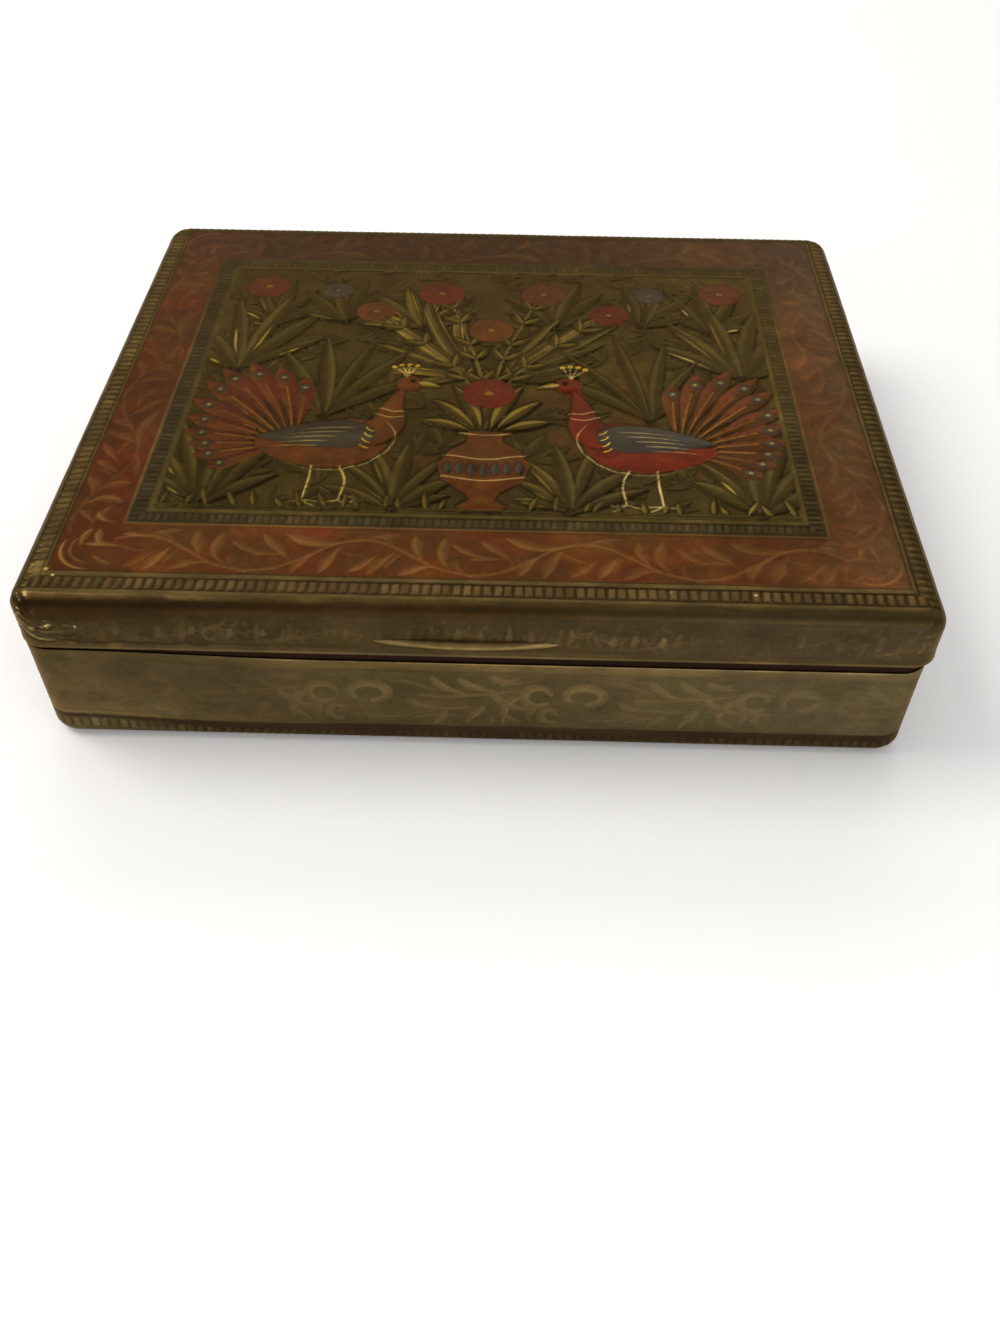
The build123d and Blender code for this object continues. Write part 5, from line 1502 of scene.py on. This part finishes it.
def velvet_material(name, light, dark):
    """Short pile, brushed lighter and darker in patches."""
    m = Mat(name)
    pile = m.noise(5200, 2, 0.6)
    tuft = m.noise(1700, 3, 0.6)
    brush = m.noise(46, 2, 0.5, 0.4)
    mid = tuple(0.55 * a + 0.45 * b for a, b in zip(light, dark))
    c = m.mix(m.range(brush, 0.34, 0.70), lin(*mid), lin(*light))
    c = m.mix(m.range(tuft, 0.3, 0.7, 0.0, 0.5), c, lin(*[v * 0.7 for v in dark]))
    c = m.mix(m.range(pile, 0.45, 0.8, 0.0, 0.35), c, lin(*[min(1, v * 1.35) for v in light]))
    h = m.math("ADD", m.math("MULTIPLY", pile, 0.5), tuft)
    m.set(Base_Color=c, Roughness=0.9, Normal=m.bump(h, 0.45, 0.00018))
    m.bsdf.inputs["Sheen Weight"].default_value = 0.55
    m.bsdf.inputs["Sheen Roughness"].default_value = 0.32
    m.bsdf.inputs["Sheen Tint"].default_value = lin(0.80, 0.42, 0.40)
    m.bsdf.inputs["Specular IOR Level"].default_value = 0.15
    return m.m


def baize_material(name):
    m = Mat(name)
    a = m.noise(2600, 4, 0.7, 1.2, vector=m.mapped((1, 2.4, 1), (0, 0, 0.5)))
    b = m.noise(2400, 4, 0.7, 1.2, vector=m.mapped((2.6, 1, 1), (0, 0, -0.4)))
    wear = m.noise(60, 3, 0.6)
    c = m.mix(m.range(a, 0.35, 0.68), lin(0.055, 0.15, 0.085), lin(0.10, 0.25, 0.145))
    c = m.mix(m.range(b, 0.5, 0.72, 0, 0.5), c, lin(0.15, 0.31, 0.20))
    c = m.mix(m.range(wear, 0.5, 0.75, 0, 0.45), c, lin(0.13, 0.20, 0.13))
    m.set(Base_Color=c, Roughness=0.95, Normal=m.bump(m.math("ADD", a, b), 0.6, 0.00016))
    m.bsdf.inputs["Sheen Weight"].default_value = 0.3
    m.bsdf.inputs["Sheen Roughness"].default_value = 0.5
    m.bsdf.inputs["Specular IOR Level"].default_value = 0.1
    return m.m


def give(ob, mat):
    ob.data.materials.clear()
    ob.data.materials.append(mat)


# ------------------------------------------------------------------ pads, linings and felt
def spread_at(half, edge, step):
    """Places from -half to half, close together near the ends."""
    near_ = [e for e in edge if e < half]
    mid = half - near_[-1]
    n = max(2, int(round(2 * mid / step)))
    inner = np.linspace(-mid, mid, n + 1)
    return np.concatenate([[-half + e for e in near_[:-1]], inner, [half - e for e in near_[:-1]][::-1]])


EDGE = (0.0, 0.06, 0.16, 0.3, 0.48, 0.7, 0.95, 1.3, 1.9, 2.8, 4.2)


def pad_mesh(name, centre, u_axis, v_axis, normal, hu, hv, thick, crown, seed, pull=0.25, step=2.0, body="base", node=None, roll=None):
    """A padded card: flat behind, crowned in front, its edges rolled and its sides pulled in a little between the corners."""
    u = spread_at(hu, EDGE, step)
    v = spread_at(hv, EDGE, step)
    U, V = np.meshgrid(u, v)
    roll = min(thick * 0.9, 0.95) if roll is None else roll
    du, dv = hu - np.abs(U), hv - np.abs(V)
    d = np.minimum(du, dv)
    corner = np.clip(1 - np.hypot(du, dv) / 9.0, 0, 1)
    q = np.clip(1 - d / roll, 0, 1)
    h = thick - roll + roll * np.sqrt(np.clip(1 - q * q, 0, 1))
    soft = smooth(0, min(hu, hv) * 0.55, d)
    h = h + crown * soft * (0.85 + 0.3 * layered(U / 17, V / 17, 0, seed, 2))
    ang = np.arctan2(dv + 0.5, du + 0.5)
    h = h + 0.10 * smooth(0, 2, d) * corner**1.5 * np.sin(ang * 9 + seed) * (thick / 1.8)
    h = h + 0.035 * smooth(0, 1.2, d) * layered(U / 3.1, V / 3.1, 0, seed + 3, 3)
    pu = U - np.sign(U) * pull * (1 - (V / hv) ** 2) * smooth(hu * 0.5, hu, np.abs(U))
    pv = V - np.sign(V) * pull * (1 - (U / hu) ** 2) * smooth(hv * 0.5, hv, np.abs(V))
    c, a, b, n = (np.array(x, float) for x in (centre, u_axis, v_axis, normal))
    front = c + pu[..., None] * a + pv[..., None] * b + h[..., None] * n
    rows, cols = U.shape
    ids = np.arange(rows * cols).reshape(rows, cols)
    faces = np.stack([ids[:-1, :-1].ravel(), ids[:-1, 1:].ravel(), ids[1:, 1:].ravel(), ids[1:, :-1].ravel()], 1)
    loop = np.concatenate([ids[0, :-1], ids[:-1, -1], ids[-1, :0:-1], ids[:0:-1, 0]])
    flat = front.reshape(-1, 3)
    hh = h.ravel()
    back = flat[loop] - hh[loop][:, None] * n
    m = len(loop)
    first = len(flat)
    i = np.arange(m)
    j = (i + 1) % m
    walls = np.stack([first + i, first + j, loop[j], loop[i]], 1)
    inset = c + (back - c) * 0.9
    second = first + m
    under = np.stack([second + i, second + j, first + j, first + i], 1)
    mid = second + m
    fan_ = np.stack([np.full(m, mid), second + j, second + i], 1)
    co = np.concatenate([flat, back, inset, c[None]]) * 0.001
    if np.dot(np.cross(a, b), n) < 0:
        faces, walls, under, fan_ = faces[:, ::-1], walls[:, ::-1], under[:, ::-1], fan_[:, ::-1]
    me = bpy.data.meshes.new(name)
    me.from_pydata([tuple(p) for p in co], [], [tuple(f) for f in np.concatenate([faces, walls, under]).tolist()] + [tuple(f) for f in fan_.tolist()])
    me.polygons.foreach_set("use_smooth", [True] * len(me.polygons))
    me.update()
    ob = bpy.data.objects.new(name, me)
    bpy.context.collection.objects.link(ob)
    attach(ob, body)
    if node:
        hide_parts(node)
    return ob


def felt_mesh(name, cx, hx, hy, r, z0, z1, seed):
    """A sheet of baize with rounded corners and a soft, slightly uneven face."""
    n = 9
    out = []
    for k, (sx, sy) in enumerate(((1, -1), (1, 1), (-1, 1), (-1, -1))):
        for t in range(n):
            a = -90 + 90 * k + 90 * t / (n - 1)
            out.append((sx * (hx - r) + r * cos(radians(a)), sy * (hy - r) + r * sin(radians(a))))
    pts = []
    for p, q in zip(out, out[1:] + out[:1]):
        m = max(1, int(hypot(q[0] - p[0], q[1] - p[1]) / 2.5))
        pts += [(p[0] + (q[0] - p[0]) * t / m, p[1] + (q[1] - p[1]) * t / m) for t in range(m)]
    pts = np.array(pts)
    m = len(pts)
    rings = []
    for s_, z in ((0.0, z1), (0.985, z1), (0.996, z1 - 0.05), (1.0, z1 - 0.2), (1.0, z0 + 0.2), (0.997, z0 + 0.05), (0.99, z0)) + tuple((0.99 - 0.045 * k, z0) for k in range(1, 21)):
        if s_ == 0.0:
            continue
        p = pts * s_
        w = 0.035 * layered(p[:, 0] / 7, p[:, 1] / 7, 0, seed, 3) if z == z0 and s_ < 0.95 else 0 * p[:, 0]
        rings.append(np.column_stack([p[:, 0] + cx, p[:, 1], np.full(m, z) + np.abs(w)]))
    co = [tuple(c) for ring_ in rings for c in ring_ * 0.001]
    i = np.arange(m)
    j = (i + 1) % m
    faces = []
    for k in range(len(rings) - 1):
        faces += np.stack([k * m + i, (k + 1) * m + i, (k + 1) * m + j, k * m + j], 1).tolist()
    top_c, low_c = len(co), len(co) + 1
    co += [(cx * 0.001, 0, z1 * 0.001), (cx * 0.001, 0, (z0 + 0.01) * 0.001)]
    faces += np.stack([np.full(m, top_c), i, j], 1).tolist()
    last = (len(rings) - 1) * m
    faces += np.stack([np.full(m, low_c), last + j, last + i], 1).tolist()
    me = bpy.data.meshes.new(name)
    me.from_pydata(co, [], faces)
    me.polygons.foreach_set("use_smooth", [True] * len(me.polygons))
    me.update()
    ob = bpy.data.objects.new(name, me)
    bpy.context.collection.objects.link(ob)
    return ob


# ------------------------------------------------------------------ the brass skins
lid_skin = lid_mesh(draw_top(), draw_lid_side(WRAP))
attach(lid_skin, "lid")
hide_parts("lid_cladding")
base_skin = base_mesh(draw_base(WRAP))
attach(base_skin, "base")
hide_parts("base_cladding")
skin = skin_material("aged_brass_worked")
lip = lip_mesh()
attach(lip, "lid")
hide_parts("thumb_lip")
for ob in (lid_skin, base_skin, lip):
    give(ob, skin)

# ------------------------------------------------------------------ velvet linings and felt
BX, BY, LX, LY = 69.2, 57.8, 69.6, 58.1
CXB = -0.4
soft = []
soft.append(pad_mesh("floor_pad_velvet", (CXB, 0, 4.7), (1, 0, 0), (0, 1, 0), (0, 0, 1), 67.8, 56.4, 1.45, 0.45, 11, body="base", node="base_floor_pad"))
soft.append(pad_mesh("lid_pad_velvet", (0, 0, 29.2), (1, 0, 0), (0, -1, 0), (0, 0, -1), 68.2, 56.7, 1.5, 0.55, 12, body="lid", node="lid_pad"))
for name, node, c, ua, n_, hu, z0, z1, body, sd in (
    ("lining_front_velvet", "base_lining_front", (CXB, -BY), (1, 0, 0), (0, 1, 0), BX - 1.2, 4.7, 21.85, "base", 21),
    ("lining_back_velvet", "base_lining_back", (CXB, BY), (1, 0, 0), (0, -1, 0), BX - 1.2, 4.7, 21.85, "base", 22),
    ("lining_left_velvet", "base_lining_left", (CXB - BX, 0), (0, 1, 0), (1, 0, 0), BY, 4.7, 21.85, "base", 23),
    ("lining_right_velvet", "base_lining_right", (CXB + BX, 0), (0, 1, 0), (-1, 0, 0), BY, 4.7, 21.85, "base", 24),
    ("lid_lining_front_velvet", "lid_lining_front", (0, -LY), (1, 0, 0), (0, 1, 0), LX - 1.2, 23.45, 29.2, "lid", 25),
    ("lid_lining_back_velvet", "lid_lining_back", (0, LY), (1, 0, 0), (0, -1, 0), LX - 1.2, 23.45, 29.2, "lid", 26),
    ("lid_lining_left_velvet", "lid_lining_left", (-LX, 0), (0, 1, 0), (1, 0, 0), LY, 23.45, 29.2, "lid", 27),
    ("lid_lining_right_velvet", "lid_lining_right", (LX, 0), (0, 1, 0), (-1, 0, 0), LY, 23.45, 29.2, "lid", 28),
):
    soft.append(pad_mesh(name, (c[0], c[1], (z0 + z1) / 2), ua, (0, 0, 1), n_, hu, (z1 - z0) / 2, 1.05, 0.14, sd, 0.06, body=body, node=node, roll=0.8))
velvet = velvet_material("velvet_pile", (0.36, 0.06, 0.065), (0.22, 0.025, 0.035))
for ob in soft:
    give(ob, velvet)
felt = felt_mesh("baize_foot", CXB, 67.3, 55.9, 2.7, 0.0, 0.69, 31)
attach(felt, "base")
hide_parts("base_felt")
give(felt, baize_material("baize_felt"))

# ------------------------------------------------------------------ wood, hinge, nails and lip
wood = {a: wood_material("dark_wood_" + a.lower(), a) for a in "XY"}
for name, ob in nodes.items():
    if name.endswith(("_front_wall", "_back_wall", "_front_rail", "_back_rail", "_board")):
        give(ob, wood["X"])
    elif name.endswith(("_left_wall", "_right_wall", "_left_rail", "_right_rail")):
        give(ob, wood["Y"])
leaf_brass = brass_material("hinge_brass_drawn", (0.48, 0.385, 0.21), (0.34, 0.26, 0.13), 0.28, (0.05, 1, 1))
nail_brass = brass_material("nail_brass", (0.52, 0.43, 0.24), (0.37, 0.285, 0.14), 0.32)
steel = steel_material("steel_wire_drawn")
for name, ob in nodes.items():
    if name in ("hinge_base_leaf", "hinge_lid_leaf"):
        give(ob, leaf_brass)
    elif name.endswith("_nails"):
        give(ob, nail_brass)
    elif name.endswith("_pins") or name == "hinge_pin":
        give(ob, steel)

# ------------------------------------------------------------------ floor, light and camera
me = bpy.data.meshes.new("floor")
size = 3.0
me.from_pydata([(-size, -size, 0), (size, -size, 0), (size, size, 0), (-size, size, 0)], [], [(0, 1, 2, 3)])
floor = bpy.data.objects.new("floor", me)
bpy.context.collection.objects.link(floor)
fm = Mat("pale_floor")
fm.set(Base_Color=fm.mix(fm.range(fm.noise(3.0, 2), 0.3, 0.7), lin(0.93, 0.93, 0.93), lin(0.95, 0.95, 0.95)), Roughness=0.75)
give(floor, fm.m)

world = bpy.data.worlds.new("studio")
bpy.context.scene.world = world
world.use_nodes = True
wt = world.node_tree
wt.nodes["Background"].inputs[0].default_value = (1.0, 0.99, 0.975, 1)
wt.nodes["Background"].inputs[1].default_value = 0.60


def area(name, at, to, w, h, power, colour=(1, 1, 1)):
    data = bpy.data.lights.new(name, "AREA")
    data.shape, data.size, data.size_y, data.energy, data.color = "RECTANGLE", w, h, power, colour
    ob = bpy.data.objects.new(name, data)
    bpy.context.collection.objects.link(ob)
    ob.location = at
    ob.rotation_mode = "QUATERNION"
    ob.rotation_quaternion = (Vector(to) - Vector(at)).to_track_quat("-Z", "Y")
    return ob


area("key", (-0.62, 0.10, 0.80), (0, 0, 0.02), 0.55, 0.5, 5.5, (1.0, 0.97, 0.93))
area("back", (-0.05, 1.0, 0.85), (0, 0, 0.02), 1.5, 0.4, 4.2, (1.0, 0.98, 0.95))
area("front", (0.30, -0.88, 0.47), (0, 0, 0.02), 1.5, 0.98, 4.75, (1.0, 0.99, 0.97))

cam_data = bpy.data.cameras.new("camera")
cam = bpy.data.objects.new("camera", cam_data)
bpy.context.collection.objects.link(cam)
right = Vector((0.999636, 0.026074, 0.006917))
up = Vector((-0.023712, 0.727041, 0.686184))
fwd = Vector((-0.012862, 0.686098, -0.727395))
m = Matrix((right, up, -fwd)).transposed().to_4x4()
m.translation = Vector((0.0065577, -0.1982336, 0.1626234))
cam.matrix_world = m
cam_data.sensor_width = 36.0
cam_data.lens = 31.870
cam_data.clip_start, cam_data.clip_end = 0.01, 20.0
bpy.context.scene.camera = cam
bpy.context.scene.view_settings.view_transform = "Standard"
